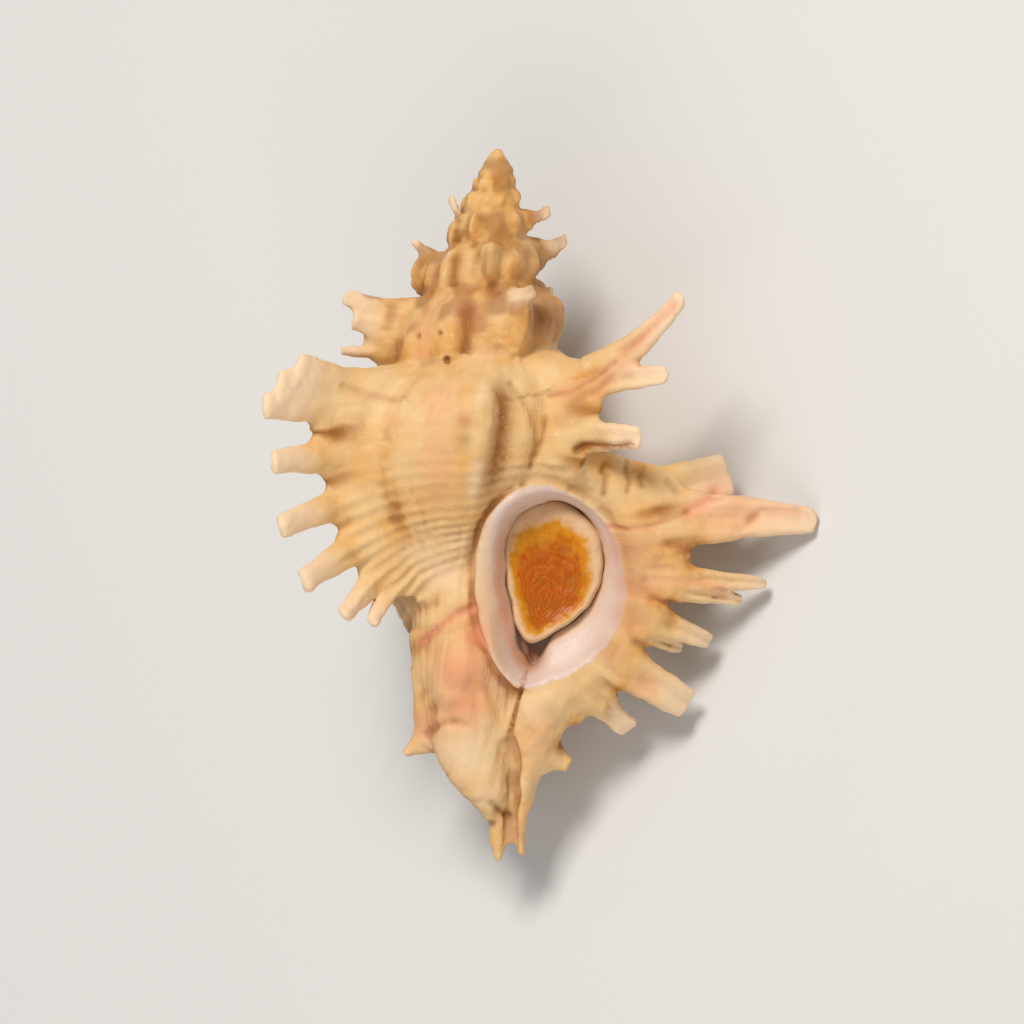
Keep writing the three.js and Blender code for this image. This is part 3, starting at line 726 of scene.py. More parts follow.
def operculum_tree():
    """A lens over a closed outline, ringed by growth about its nucleus."""
    tree, nodes, given, output = geometry_tree("Ringed operculum", {
        "Around": ("Int", 160),
        "Outwards": ("Int", 121),
        "Nucleus": ("Vector", None),
        "Thickness": ("Float", 0.9),
        "Ring height": ("Float", 0.022),
        "Rings": ("Float", 9.0),
        "Dish": ("Float", 0.7),
        "Dish power": ("Float", 4.0),
        "Rounding power": ("Float", 14.0),
        "Material": ("Material", None),
    })
    edge = nodes.out("GeometryNodeMeshToCurve", (given["Geometry"],))
    edge, rim = nodes.kept_places(nodes.even_curve(edge, given["Around"]))
    line, along = nodes.even_line(given["Outwards"])
    signed = nodes.minus(nodes.times(along, 2), 1)
    share = nodes.minus(1, nodes.math("ABSOLUTE", signed))
    top = nodes.math("LESS_THAN", signed, 0)
    run = nodes.vector("SUBTRACT", rim, given["Nucleus"])
    flat = nodes.vector("ADD", given["Nucleus"], nodes.scaled(run, share))
    rings = nodes.times(nodes.plus(share, nodes.waver(flat, 0.6, 3.0)), given["Rings"])
    saw = nodes.math("POWER", nodes.math("FRACT", rings), 2)
    ridge = nodes.times(saw, given["Ring height"], nodes.ramp(share, 0.05, 0.3))
    dish = nodes.times(nodes.math("POWER", share, given["Dish power"]), given["Dish"])
    relief = nodes.plus(ridge, dish, nodes.waver(flat, 0.7, 1.5))
    rounding = nodes.math("SQRT", nodes.minus(1.0, nodes.math("POWER", share, given["Rounding power"])))
    above = nodes.times(nodes.plus(relief, given["Thickness"]), nodes.times(rounding, top))
    below = nodes.times(given["Thickness"], rounding, -0.5, nodes.minus(1, top))
    lift = nodes.out("ShaderNodeCombineXYZ", (0.0, 0.0, nodes.plus(above, below)))
    moved = nodes.moved(nodes.swept(edge, line, False), nodes.vector("ADD", flat, lift))
    for name, value in (("ring", share), ("ridge", saw)):
        moved = nodes.out("GeometryNodeStoreNamedAttribute", {
            "Geometry": moved, "Name": name, "Value": value,
        }, data_type="FLOAT", domain="POINT")
    merged = nodes.out("GeometryNodeMergeByDistance", {"Geometry": moved, "Distance": MERGE_DISTANCE})
    nodes.finish(merged, given["Material"], output)
    return tree


def linked_object(name, data):
    piece = bpy.data.objects.new(name, data)
    bpy.context.scene.collection.objects.link(piece)
    return piece


def new_mesh_object(name, points, edges=(), faces=()):
    mesh = bpy.data.meshes.new(name)
    mesh.from_pydata([tuple(point) for point in points], list(edges), [tuple(face) for face in faces])
    return linked_object(name, mesh)


def closed_line(name, points):
    """An object that is one closed line through points."""
    count = len(points)
    return new_mesh_object(name, points, [(index, (index + 1) % count) for index in range(count)])


def evaluated_mesh(piece):
    """The plain mesh that an object's modifiers make, with the object then removed."""
    evaluated = piece.evaluated_get(bpy.context.evaluated_depsgraph_get())
    mesh = bpy.data.meshes.new_from_object(evaluated)
    bpy.data.objects.remove(piece)
    return mesh


def grown(source, tree, **sizes):
    """The plain mesh that a geometry tree makes from an object."""
    modifier = source.modifiers.new(tree.name, "NODES")
    modifier.node_group = tree
    sockets = {item.name: item.identifier for item in tree.interface.items_tree if item.in_out == "INPUT"}
    for label, value in sizes.items():
        modifier[sockets[label.replace("_", " ")]] = value
    return evaluated_mesh(source)


def mesh_arrays(mesh):
    """A mesh's points and triangles."""
    points = np.empty(len(mesh.vertices) * 3, dtype=np.float32)
    mesh.vertices.foreach_get("co", points)
    mesh.calc_loop_triangles()
    triangles = np.empty(len(mesh.loop_triangles) * 3, dtype=np.int32)
    mesh.loop_triangles.foreach_get("vertices", triangles)
    return points.reshape(-1, 3).astype(float), triangles.reshape(-1, 3)


def grown_arrays(source, tree, **sizes):
    """The points and triangles that a geometry tree makes from an object."""
    mesh = grown(source, tree, **sizes)
    arrays = mesh_arrays(mesh)
    bpy.data.meshes.remove(mesh)
    return arrays


def ring_stack(rings):
    """A closed mesh through rings of points, as points and triangles."""
    rings = np.asarray(rings, dtype=float)
    count, sides = rings.shape[:2]
    points = np.concatenate((rings.reshape(-1, 3), rings[[0, -1]].mean(axis=1)))
    triangles = []
    for side in range(sides):
        turn = (side + 1) % sides
        for ring in range(count - 1):
            a, b = ring * sides + side, ring * sides + turn
            triangles += [(a, b, b + sides), (a, b + sides, a + sides)]
        last = (count - 1) * sides
        triangles += [(count * sides, turn, side), (count * sides + 1, last + side, last + turn)]
    return points, np.array(triangles)


class Clay:
    """A block of distances to the surface, which solids are joined to and cut from with soft seams."""

    def __init__(self, cell):
        self.cell = cell
        shape = np.ceil((GRID_HIGH - GRID_LOW) / cell).astype(int)
        self.field = np.full(shape, BAND, dtype=np.float32)

    def measured(self, points, triangles):
        """The distances round a solid, in cells, and where in the clay they are."""
        grid = openvdb.FloatGrid.createLevelSetFromPolygons(
            np.ascontiguousarray((points - GRID_LOW) / self.cell, dtype=np.float32),
            triangles=np.ascontiguousarray(triangles, dtype=np.uint32),
            transform=openvdb.createLinearTransform(voxelSize=1.0),
            halfWidth=BAND,
        )
        low, high = (np.array(corner) for corner in grid.evalActiveVoxelBoundingBox())
        low = np.maximum(low, 0)
        high = np.minimum(high, np.array(self.field.shape) - 1)
        block = np.empty(high - low + 1, dtype=np.float32)
        grid.copyToArray(block, ijk=tuple(int(value) for value in low))
        return block, tuple(slice(int(a), int(b) + 1) for a, b in zip(low, high))

    def work(self, side, points, triangles, seam):
        """Joins a solid to the clay or cuts it out, with a soft seam in millimetres."""
        block, place = self.measured(points, triangles)
        here = side * self.field[place]
        width = seam / self.cell
        soft = np.maximum(width - np.abs(here - block), 0)
        self.field[place] = side * (np.minimum(here, block) - soft * soft / (4 * width))

    def surface(self):
        """The points and faces of the clay's surface."""
        grid = openvdb.FloatGrid(BAND)
        grid.copyFromArray(self.field)
        points, _, quads = grid.convertToPolygons(0.0, 0.0)
        return points * self.cell + GRID_LOW, quads[:, ::-1]

    def sampled(self, values, points):
        """A grid of values, read between its cells at points."""
        at = (points - GRID_LOW) / self.cell
        low = np.clip(np.floor(at).astype(int), 0, np.array(values.shape) - 2)
        return blended(values, low, np.clip(at - low, 0, 1))

    def outwards(self, points):
        """The directions that lead straight out of the clay at points."""
        return unit(np.stack([self.sampled(slope, points) for slope in np.gradient(self.field)], axis=1))

    def shelter(self, points, normals, reach):
        """How much shell lies within reach of places just off the surface, which is more in a hollow."""
        filled = np.clip(0.5 - self.field / 2, 0, 1)
        cells = max(int(round(reach / self.cell)), 1)
        for axis in (0, 0, 1, 1, 2, 2):
            total = np.cumsum(filled, axis=axis, dtype=np.float32)
            filled = (np.roll(total, -cells, axis=axis) - np.roll(total, cells, axis=axis)) / (2 * cells)
            filled = np.clip(filled, 0, 1)
        return self.sampled(filled, points + normals * reach / 2)


def along_ends(ends, share):
    """A size that goes evenly from one end's to the other's."""
    return ends[0] + (ends[1] - ends[0]) * share


def spine_guide(turned, curl, root, tip, width, sag):
    """Where a spine runs and how wide it is, as one guide line."""
    root, tip = np.array(root, dtype=float), np.array(tip, dtype=float)
    share = np.linspace(0, 1, STATIONS) ** SPINE_STATION_POWER
    run = tip - root
    aside = np.array((-run[1], run[0])) / np.linalg.norm(run)
    middle = root + run * share[:, None] + aside * (sag * 4 * share * (1 - share))[:, None]
    behind = -curl * share**2
    centre = whorl_point(turned, middle[:, 0], middle[:, 1], behind)
    beside = whorl_point(turned, middle[:, 0] + aside[0], middle[:, 1] + aside[1], behind)
    before = whorl_point(turned, middle[:, 0], middle[:, 1], behind + 1)
    along = unit(np.gradient(centre, axis=0))
    rise = before - centre
    rise = unit(rise - along * np.sum(rise * along, axis=1, keepdims=True))
    size = whorl_size(turned)
    end = np.clip((share - TIP_START) / TIP_LENGTH, 0, 1)
    end = np.sqrt(np.clip(1 - end**2, TIP_FLATNESS, 1)) * size
    return dict(
        centre=centre, across=unit(beside - centre), rise=rise,
        half_width=along_ends(width, share) * end,
        half_thickness=along_ends(SPINE_THICKNESS, share) * end,
        groove=SPINE_GROOVE * step_between(0.2, 0.5, share), seam=SPINE_SEAM * size,
        share=share * min(size**-0.5, MOST_WORN),
    )


def wall_guide(turned, wall):
    """A varix wall's middle line, from the suture down to the canal."""
    depth, foot, edge, spread = spread_stations(wall).T
    size = whorl_size(turned)
    middle = whorl_point(turned, foot, depth)
    return dict(
        centre=whorl_point(turned, (foot + edge) / 2 - WALL_ROOT, depth),
        across=unit(whorl_point(turned, edge, depth) - middle),
        rise=unit(whorl_point(turned, foot, depth, 1) - middle),
        half_width=((edge - foot) / 2 + WALL_ROOT) * size, half_thickness=WALL_THICKNESS * spread * size,
        taper=WALL_TAPER + 0 * depth, seam=WALL_SEAM * size,
    )


def strand_guide(stations):
    """A strand of the canal or the pillar as one guide line, with a section that stays upright."""
    x, y, z, half_width, half_thickness = spread_stations(stations).T
    centre = np.stack((x, y, z), axis=1)
    along = unit(np.gradient(centre, axis=0) * (1, 1, 0))
    across = np.stack((-along[:, 1], along[:, 0], 0 * x), axis=1)
    return dict(
        centre=centre, across=across, rise=np.cross(along, across), half_width=half_width,
        half_thickness=half_thickness, seam=SHARP_SEAM if stations in SHARP_STRANDS else STRAND_SEAM,
    )


def limb_solids(guides):
    """Every limb with its points and triangles, swept by the tree along its guide line."""
    points = np.concatenate([guide["centre"] for guide in guides])
    edges = [(index, index + 1) for index in range(len(points) - 1) if (index + 1) % STATIONS]
    source = new_mesh_object("Limb guides", points, edges)
    for name in ("across", "rise", "half_width", "half_thickness", "groove", "taper"):
        values = np.concatenate([guide.get(name, np.zeros(STATIONS)) for guide in guides])
        flat = values.ndim == 1
        layer = source.data.attributes.new(name, "FLOAT" if flat else "FLOAT_VECTOR", "POINT")
        layer.data.foreach_set("value" if flat else "vector", values.ravel().astype(np.float32))
    points, triangles = grown_arrays(source, limb_tree())
    per_limb = STATIONS * LIMB_SIDES
    owner = triangles[:, 0] // per_limb
    for index, guide in enumerate(guides):
        own = slice(index * per_limb, (index + 1) * per_limb)
        yield guide, points[own], triangles[owner == index] - own.start


def coil_solid(sizes):
    outline = np.concatenate((spread_stations(WHORL_SIDE, OUTLINE_STATIONS), np.array(WHORL_CORE)))
    source = closed_line("Whorl outline", np.column_stack((outline, np.zeros(len(outline)))))
    points, triangles = grown_arrays(
        source, coil_tree(), Weak_rib=sizes.weak_rib, Strong_rib=sizes.strong_rib, Valley=sizes.valley
    )
    return lean(points, -AXIS_LEAN), triangles


def round_the_mouth(outline, count=MOUTH_RAYS):
    """An outline's points at even angles about the middle of the mouth."""
    outline = np.array(outline, dtype=float)
    offset = outline[:, :2] - MOUTH_CENTRE
    angle = np.arctan2(offset[:, 1], offset[:, 0])
    order = np.argsort(angle)
    angle, outline = angle[order], outline[order]
    angle = np.concatenate((angle - FULL_TURN, angle, angle + FULL_TURN))
    reach = np.hypot(*(outline[:, :2] - MOUTH_CENTRE).T)
    at = angles(count)
    columns = [np.interp(at, angle, np.tile(values, 3)) for values in (reach, *outline[:, 2:].T)]
    window = np.array((1, 2, 3, 4, 3, 2, 1)) / 16
    near = (np.arange(count)[:, None] + np.arange(-3, 4)) % count
    columns = [(values[near] * window).sum(axis=1) for values in columns]
    flat = np.array(MOUTH_CENTRE) + np.stack((np.cos(at), np.sin(at)), axis=1) * columns[0][:, None]
    return np.column_stack([flat] + columns[1:])


def rim_rings(levels, rough=0):
    """The rim, scaled about the middle of the mouth, at heights above it."""
    rim = round_the_mouth(RIM)
    middle = np.array(MOUTH_CENTRE)
    outer_side = step_between(0, 4, rim[:, :1])
    beads = noise_at(rim, "rim beads")[:, None] * rough * outer_side
    return [
        np.column_stack((
            (rim[:, :2] - middle) * (1 + (scale - 1) * (0.35 + 0.65 * outer_side) + beads / 5) + middle,
            rim[:, 2] + height,
        ))
        for height, scale in levels
    ]


def opening_rings():
    """The mouth's opening, from inside the shell up its sloping lip to the rim."""
    rim, inner = round_the_mouth(RIM), round_the_mouth(OPENING)
    outer_side = step_between(-0.7, 0.1, np.cos(angles(MOUTH_RAYS) + 0.5))[:, None]
    rings = []
    for (low, near), (high, far) in zip(AXIS_SIDE_SLOPE, OUTER_SIDE_SLOPE):
        share = near + (far - near) * outer_side
        height = low + (high - low) * outer_side[:, 0]
        rings.append(np.column_stack((inner + (rim[:, :2] - inner) * share, rim[:, 2] + height)))
    return rings


def cavity_rings():
    """The hollow of the mouth, from its rim back along the whorl."""
    centre_radius, centre_depth, half_width, half_height = CAVITY_OVAL
    around = math.pi / 2 - angles(MOUTH_RAYS)
    radius = centre_radius + np.sin(around) * half_width
    depth = centre_depth - np.cos(around) * half_height
    return opening_rings()[::-1] + [whorl_point(turned, radius, depth) for turned in CAVITY_TURNED]


def slit_rings():
    """The open canal, as upright rectangles from its floor to well above the shell."""
    return [
        [(x - half, y, floor), (x + half, y, floor), (x + half, y, SLIT_TOP), (x - half, y, SLIT_TOP)]
        for x, y, floor, half in spread_stations(CANAL_SLIT, SLIT_STATIONS)
    ]


def core_rings():
    """The core inside the spire, which keeps the sutures shallow."""
    around = angles(CORE_SIDES)
    rings = []
    for depth, radius in spread_stations(SPIRE_CORE, CORE_STATIONS):
        ring = np.stack((np.cos(around) * radius, 0 * around - depth, np.sin(around) * radius), axis=1)
        rings.append(lean(ring, -AXIS_LEAN))
    return rings


def modelled_shell(sizes):
    """The whole shell joined in clay, with its mouth and its canal cut, and the guides of its spines."""
    clay = Clay(sizes.cell)
    clay.work(JOIN, *coil_solid(sizes), seam=COIL_SEAM)
    clay.work(JOIN, *ring_stack(core_rings()), seam=CORE_SEAM)
    guides = []
    for count in range(VARIX_COUNT):
        turned = count * VARIX_STEP
        guides.append(wall_guide(turned, VARIX_WALL if count < LAST_TURN_VARICES else SPIRE_WALL))
        curl = SPINE_CURL[min(count, len(SPINE_CURL) - 1)]
        spines = VARIX_SPINES[count] if count < len(VARIX_SPINES) else ()
        guides += [spine_guide(turned, curl, *spine) for spine in spines]
    guides += [strand_guide(stations) for stations in STRANDS]
    for guide, points, triangles in limb_solids(guides):
        clay.work(JOIN, points, triangles, guide["seam"])
    for side, rings, seam in (
        (CUT, rim_rings(MOAT_LEVELS), MOAT_SEAM), (JOIN, rim_rings(COLLAR_LEVELS, BEAD_SHARE), COLLAR_SEAM),
        (CUT, cavity_rings(), CAVITY_SEAM), (CUT, slit_rings(), SLIT_SEAM),
    ):
        clay.work(side, *ring_stack(rings), seam)
    return clay, [guide for guide in guides if "share" in guide]


def ray_tables():
    """For each varix with spines of its own, and for the rest, the rays that the cords follow."""
    tables = {}
    plain = [LEFT_SPINES[index][:2] for index in PLAIN_RAY_SPINES]
    for count, picks in list(RAY_SPINES.items()) + [(None, PLAIN_RAY_SPINES)]:
        spines = LEFT_SPINES if count is None else VARIX_SPINES[count]
        own = [spines[index][:2] for index in picks]
        tables[count] = FIRST_RAYS + tuple(own) + tuple(plain[len(own):]) + LAST_RAYS
    return tables


def ray_number(rays, radius, depth):
    """Where points lie among rays: whole numbers on the rays, and in between between them."""
    below = []
    for (root_radius, root_depth), (tip_radius, tip_depth) in rays:
        slope = (tip_depth - root_depth) / (tip_radius - root_radius)
        below.append((depth - root_depth - slope * (radius - root_radius)) / math.hypot(1, slope))
    total = np.zeros(len(radius))
    for upper, lower in zip(below, below[1:]):
        total += np.clip(upper / np.maximum(upper - lower, 0.05), 0, 1)
    return total


class Whorls:
    """Where points lie on the spiral: turned back from the lip, radius and depth at full size, and ray."""

    def __init__(self, points):
        drawn = lean(points, AXIS_LEAN)
        reach = np.hypot(drawn[:, 0], drawn[:, 2])
        first = (np.degrees(np.arctan2(-drawn[:, 2], drawn[:, 0])) - LIP_ANGLE) % 360
        count = len(points)
        self.turned = first + 360 * TURNS
        self.radius, self.depth = np.zeros((2, count))
        self.seam, self.size = np.full(count, FAR_SEAM), np.ones(count)
        waiting = np.ones(count, dtype=bool)
        for turn in range(-1, math.ceil(TURNS) + 1):
            turned = first + 360 * turn
            size = whorl_size(turned)
            radius, depth = reach / size, -drawn[:, 1] / size
            over = depth - SUTURE_DEPTH + SUTURE_SLOPE * (radius - SUTURE_RADIUS)
            if turn < 0:
                outside = drawn[:, 0] - np.interp(-drawn[:, 1], *np.array(LIP_FOOT).T)
                fits = (over >= 0) & (first > LIP_FRONT) & (outside > 0)
                nearest = np.where(first > LIP_FRONT, np.abs(outside), FAR_SEAM)
            else:
                fits = (over >= 0) | ((radius > SPINES_OUT) & (depth > SPINES_DOWN))
                nearest = np.abs(over) * size
            self.seam = np.where(waiting, np.minimum(self.seam, nearest), self.seam)
            fits &= waiting
            for kept, value in (
                (self.turned, turned), (self.radius, radius), (self.depth, depth), (self.size, size),
            ):
                kept[fits] = value[fits]
            waiting &= ~fits
        self.step = self.turned / VARIX_STEP
        tables = ray_tables()
        self.ray = ray_number(tables[None], self.radius, self.depth)
        for varix in RAY_SPINES:
            share = 1 - step_between(0.3, 0.7, np.abs(self.step - varix))
            own = ray_number(tables[varix], self.radius, self.depth)
            self.ray += share * (own - self.ray)
        self.after = self.step - np.floor(self.step)
        self.between_rays = np.sin(math.pi * (self.ray - np.floor(self.ray))) ** 2
        self.flange = step_between(13.6, 15.4, self.radius)

    def stretched(self, step, ray, radius=0):
        """Places for noise that runs along the growth lines, by how fast it varies each way."""
        return np.stack((self.step * step, self.ray * ray, self.radius * radius), axis=1)

    def edge_folds(self):
        """Wrinkles that run in from the edge of a varix, between -1 and 1."""
        return noise_at(np.stack((self.ray * 6, self.step * 8, self.radius * 0.3), axis=1), "folds")

    def notches(self, tips):
        """How near points are to the edge of a varix of the last turn, between two of its spines."""
        last_turn = 1 - step_between(350, 420, self.turned)
        between = last_turn * self.between_rays * step_between(1, 1.5, self.ray)
        near = within(14, 17.8, 20, 22, self.radius)
        return between * near * (1 - step_between(0.2, 0.5, tips))


def line_distance(points, line):
    """How far points are from a drawn line, seen from the front."""
    nearest = np.full(len(points), np.inf)
    for start, end in zip(np.array(line)[:-1], np.array(line)[1:]):
        run = end - start
        share = np.clip(((points[:, :2] - start) @ run) / (run @ run), 0, 1)
        offset = points[:, :2] - start - share[:, None] * run
        nearest = np.minimum(nearest, np.hypot(*offset.T))
    return nearest


def in_front(points, normals):
    return step_between(-0.3, 0.2, normals[:, 2]) * (points[:, 2] > FRONT_BEGINS)


def inside_rim(points):
    """How far inside the mouth's rim points are, seen from the front, and how far above it."""
    rim = round_the_mouth(RIM)
    offset = points[:, :2] - MOUTH_CENTRE
    turn = np.arctan2(offset[:, 1], offset[:, 0]) % FULL_TURN / FULL_TURN * MOUTH_RAYS
    reach = np.hypot(*(rim[:, :2] - MOUTH_CENTRE).T)
    place = np.arange(MOUTH_RAYS + 1)
    reach, height = (np.interp(turn, place, np.append(row, row[0])) for row in (reach, rim[:, 2]))
    return reach - np.hypot(*offset.T), points[:, 2] - height


def spiral_relief(points, whorls, tips, inside, sizes):
    """The cords, growth lines, folds and knobs that follow the spiral, in millimetres."""
    ray, radius, turned = whorls.ray, whorls.radius, whorls.turned
    on_body = 1 - step_between(15, 17, radius)
    off_seam = step_between(0.1, 0.8, whorls.seam)
    wander = noise_at(points, "cord wander")
    lower = step_between(2.6, 4.4, ray)
    clear = step_between(0.2, 2, -inside)
    strength = 0.65 + noise_at(points, "cord strength")
    calm = 1 - 0.6 * spot_at(points, *SMOOTH_PLACE)
    cord = (0.5 + 0.5 * np.cos(FULL_TURN * (CORDS_PER_RAY * ray + wander))) ** CORD_SHARPNESS
    cord_height = sizes.cord * (0.1 + 0.8 * lower) * np.maximum(strength, 0.1) * clear * calm
    relief = (cord - 0.4) * cord_height * on_body * off_seam * (ray > 0.4)
    patchy = step_between(-0.3, 0.5, noise_at(points, "thread patches"))
    threads = np.cos(FULL_TURN * (THREADS_PER_RAY * ray + 2 * wander))
    relief += threads * THREAD_HEIGHT * off_seam * patchy * on_body
    relief += noise_at(whorls.stretched(34, 0.8), "growth lines") * (0.6 + 0.4 * on_body) * off_seam
    near_edge = within(13.4, 15.5, 19.5, 22, radius)
    notches = whorls.notches(tips)
    relief += whorls.edge_folds() * sizes.fold * (0.25 * near_edge + 0.85 * notches)
    relief += noise_at(whorls.stretched(60, 2.2, 0.5), "scales") * near_edge * whorls.between_rays
    relief += noise_at(points, "notch grain") * notches
    shoulder = bump_at(ray, 0.55, 0.45) * (1 - whorls.flange)
    relief += noise_at(whorls.stretched(14, 2), "shoulder knobs") * shoulder
    beads = np.cos(FULL_TURN * BEADS_PER_VARIX * whorls.step) * step_between(0.1, 0.5, whorls.seam) - 0.5
    relief += beads * BEAD_HEIGHT * step_between(760, 1100, turned)
    early = step_between(340, 500, turned)
    relief += (noise_at(points, "spire lumps") + noise_at(points, "spire grain")) * early
    smooth_apex = 1 - step_between(2000, 2500, turned)
    return relief * (np.minimum(whorls.size, 1) ** 0.5 * smooth_apex)


def worn_relief(points, normals, whorls, tips, sizes):
    """How far each point of the shell's surface stands out, in millimetres."""
    inside, above = inside_rim(points)
    shell = 1 - step_between(-0.25, 0.1, inside) * step_between(-2.6, -1.6, above)
    relief = spiral_relief(points, whorls, tips, inside, sizes)
    relief += noise_at(points, "tip grain") * step_between(0.8, 1, tips)
    relief += noise_at(points, "fine grain") * sizes.grain + noise_at(points, "grain") * sizes.grain
    front = in_front(points, normals)
    for line, half_width, depth, *_ in CREASES:
        relief -= depth * front * bump_at(line_distance(points, line), 0, half_width)
    for x, y, reach in PITS:
        relief -= PIT_DEPTH * front * np.exp(-((np.hypot(points[:, 0] - x, points[:, 1] - y) / reach) ** 4))
    ring = np.hypot(*((points[:, :2] - BULGE_MIDDLE) / BULGE_REACH).T)
    ribbed = bump_at(ring, 0.9, 0.5) * front
    across, up = (points[:, :2] - BULGE_FAN).T
    ribs = np.cos(np.arctan2(across, -up) * BULGE_RIBS)
    relief += BULGE_RIB_HEIGHT * ribbed * ribs * step_between(-45, -46, points[:, 1])
    glaze = noise_at(points, "glaze swells") + noise_at(points, "glaze grain")
    return relief * shell + glaze * (1 - shell)


def spine_share(points, guides):
    """How far along a spine each point is, from nothing off the spines to one at their tips."""
    along = np.zeros(len(points))
    for guide in guides:
        low = guide["centre"].min(axis=0) - SPINE_REACH
        high = guide["centre"].max(axis=0) + SPINE_REACH
        near = np.nonzero(np.all((points > low) & (points < high), axis=1))[0]
        if not len(near):
            continue
        offset = points[near, None, :] - guide["centre"][None, :, :]
        distance = np.linalg.norm(offset, axis=2) / (guide["half_width"] + SPINE_EDGE)
        best = distance.argmin(axis=1)
        close = 1 - step_between(1, 1.5, distance[np.arange(len(near)), best])
        along[near] = np.maximum(along[near], close * guide["share"][best])
    return along


def drawn_stains_and_shade(points):
    """How pink and how brown the creases, stains and pits of the front are; the brown of the creases and of
    some stains is painted shade.
    """
    pink, brown = np.zeros((2, len(points)))
    spots = [(spot_at(points, x, y, reach), rosy, dark) for x, y, reach, rosy, dark in STAINS_AND_SHADE]
    spots += [(spot_at(points, *pit), 0, PIT_BROWN) for pit in PITS]
    for spot, rosy, dark in spots:
        pink = np.maximum(pink, rosy * spot)
        brown = np.maximum(brown, dark * spot)
    for line, half_width, _, rosy, dark in CREASES:
        away = line_distance(points, line) / half_width
        pink = np.maximum(pink, rosy * bump_at(away, 0, 1.8))
        brown = np.maximum(brown, dark * bump_at(away, 0, 1.1))
    return pink, brown


def surface_marks(points, normals, whorls, clay, guides):
    """The masks that the shell's colours and fine relief follow, one value to a point for each, among them
    painted shade and painted highlight.
    """
    inside, above = inside_rim(points)
    front = in_front(points, normals)
    ragged = noise_at(points, "ragged glaze") + noise_at(points, "ragged edge")
    on_collar = step_between(-2.2, -1.3, above)
    glazed = step_between(-0.12, 0.12, inside + ragged) * on_collar
    deep_inside = step_between(0.5, 1, inside) * (1 - on_collar) * (points[:, 2] > -4)
    # How sheltered each point is, close by and more widely, for painted shade in the hollows.
    near, wide = (clay.shelter(points, normals, reach) for reach in HOLLOW_REACHES)
    # Pink seams and stains, and brown that is partly real stains and partly painted shade.
    pink, brown = drawn_stains_and_shade(points)
    after, ray, body = whorls.after, whorls.ray, 1 - whorls.flange
    band = within(0.5, 1.3, 3.4, 5.2, ray) * body
    groove = (0.5 - 0.5 * np.cos(FULL_TURN * CORDS_PER_RAY * ray)) ** 2
    lower = within(2.8, 3.8, 5.5, 7, ray) * body
    shade = bump_at(after, 0.672, 0.058) * band + 0.3 * groove * lower * bump_at(after, 0.66, 0.2)
    pink = np.maximum(pink, 0.5 * bump_at(after, 0.4, 0.08) * band)
    # Painted highlight on the crest of the higher rib, and painted light on the pale places.
    pale = 0.9 * bump_at(after, 0.582, 0.026) * band
    for x, y, reach, strength in PALE_PLACES:
        pale = np.maximum(pale, strength * front * spot_at(points, x, y, reach))
    tips = spine_share(points, guides)
    notch = whorls.notches(tips)
    # Painted shade in the notches between the spines, as brown in the troughs of the folds and at the
    # listed notches.
    brown = np.maximum(brown, notch * np.clip(0.5 - 2 * whorls.edge_folds(), 0, 1))
    wrinkled = 0.7 + noise_at(points, "notch wrinkles")
    off_spines = 1 - step_between(0.25, 0.6, tips)
    for x, y, reach, dark in NOTCH_SHADE:
        spot = spot_at(points, x, y, reach) * front * off_spines
        notch = np.maximum(notch, spot)
        brown = np.maximum(brown, dark * spot**1.5 * wrinkled)
    early = step_between(330, 480, whorls.turned)
    brown = np.maximum(brown, 0.6 * early * step_between(0, 0.5, noise_at(points, "spire stains")))
    leaning_x = points[:, 0] + 0.1 * (points[:, 1] - MOUTH_CENTRE[1])
    cream_lip = glazed * (1 - step_between(-1.3, 0.6, leaning_x))
    # Painted shade on the inner slope of the lip by the pillar, given as pink.
    column = glazed * (1 - step_between(0.6, 3.4, points[:, 0])) * step_between(1.2, 2.2, inside)
    marks = {
        "step": whorls.step,
        "ray": ray,
        "fine": step_between(0.2, 0.8, whorls.seam) * (1 - glazed) * (1 - 0.7 * whorls.flange),
        # Hollow and depth are painted shade, in the close and in the wider hollows.
        "hollow": np.clip((near - 0.12) * 3.2, 0, 1),
        "depth": np.clip((wide - 0.22) * 3, 0, 1),
        "tip": tips,
        "glazed": np.maximum(glazed * (1 - 0.6 * cream_lip), deep_inside),
        "pink": np.clip(pink * front + 0.8 * column, 0, 1),
        "brown": brown * np.maximum(front, notch),
        "shade": np.clip(shade, 0, 1),
        "crest": pale,
        "notch": notch,
        "warm": np.maximum(early, 1.3 * bump_at(after, 0.52, 0.04) * band),
    }
    return {name: value.astype(np.float32) for name, value in marks.items()}


def thinned(mesh, triangles):
    """The mesh with no more triangles than asked for."""
    mesh.calc_loop_triangles()
    piece = linked_object("Thinned", mesh)
    modifier = piece.modifiers.new("Fewer triangles", "DECIMATE")
    modifier.ratio = min(1, triangles / len(mesh.loop_triangles))
    return evaluated_mesh(piece)


def filled_mesh(name, points, quads):
    """A mesh from arrays of points and four-sided faces."""
    mesh = bpy.data.meshes.new(name)
    mesh.vertices.add(len(points))
    mesh.vertices.foreach_set("co", points.astype(np.float32).ravel())
    mesh.loops.add(quads.size)
    mesh.loops.foreach_set("vertex_index", quads.astype(np.int32).ravel())
    mesh.polygons.add(len(quads))
    mesh.polygons.foreach_set("loop_start", np.arange(0, quads.size, 4, dtype=np.int32))
    mesh.update(calc_edges=True)
    mesh.validate()
    return mesh


def finished_piece(name, mesh, points, material, marks):
    """The piece that rides in the frame, laid down, with its marks kept as attributes."""
    mesh.name = name
    mesh.vertices.foreach_set("co", laid_down(points).astype(np.float32).ravel())
    mesh.polygons.foreach_set("use_smooth", np.ones(len(mesh.polygons), dtype=bool))
    for label, values in marks.items():
        mesh.attributes.new(label, "FLOAT", "POINT").data.foreach_set("value", values)
    mesh.materials.clear()
    mesh.materials.append(material)
    mesh.update()
    return linked_object(name, mesh)


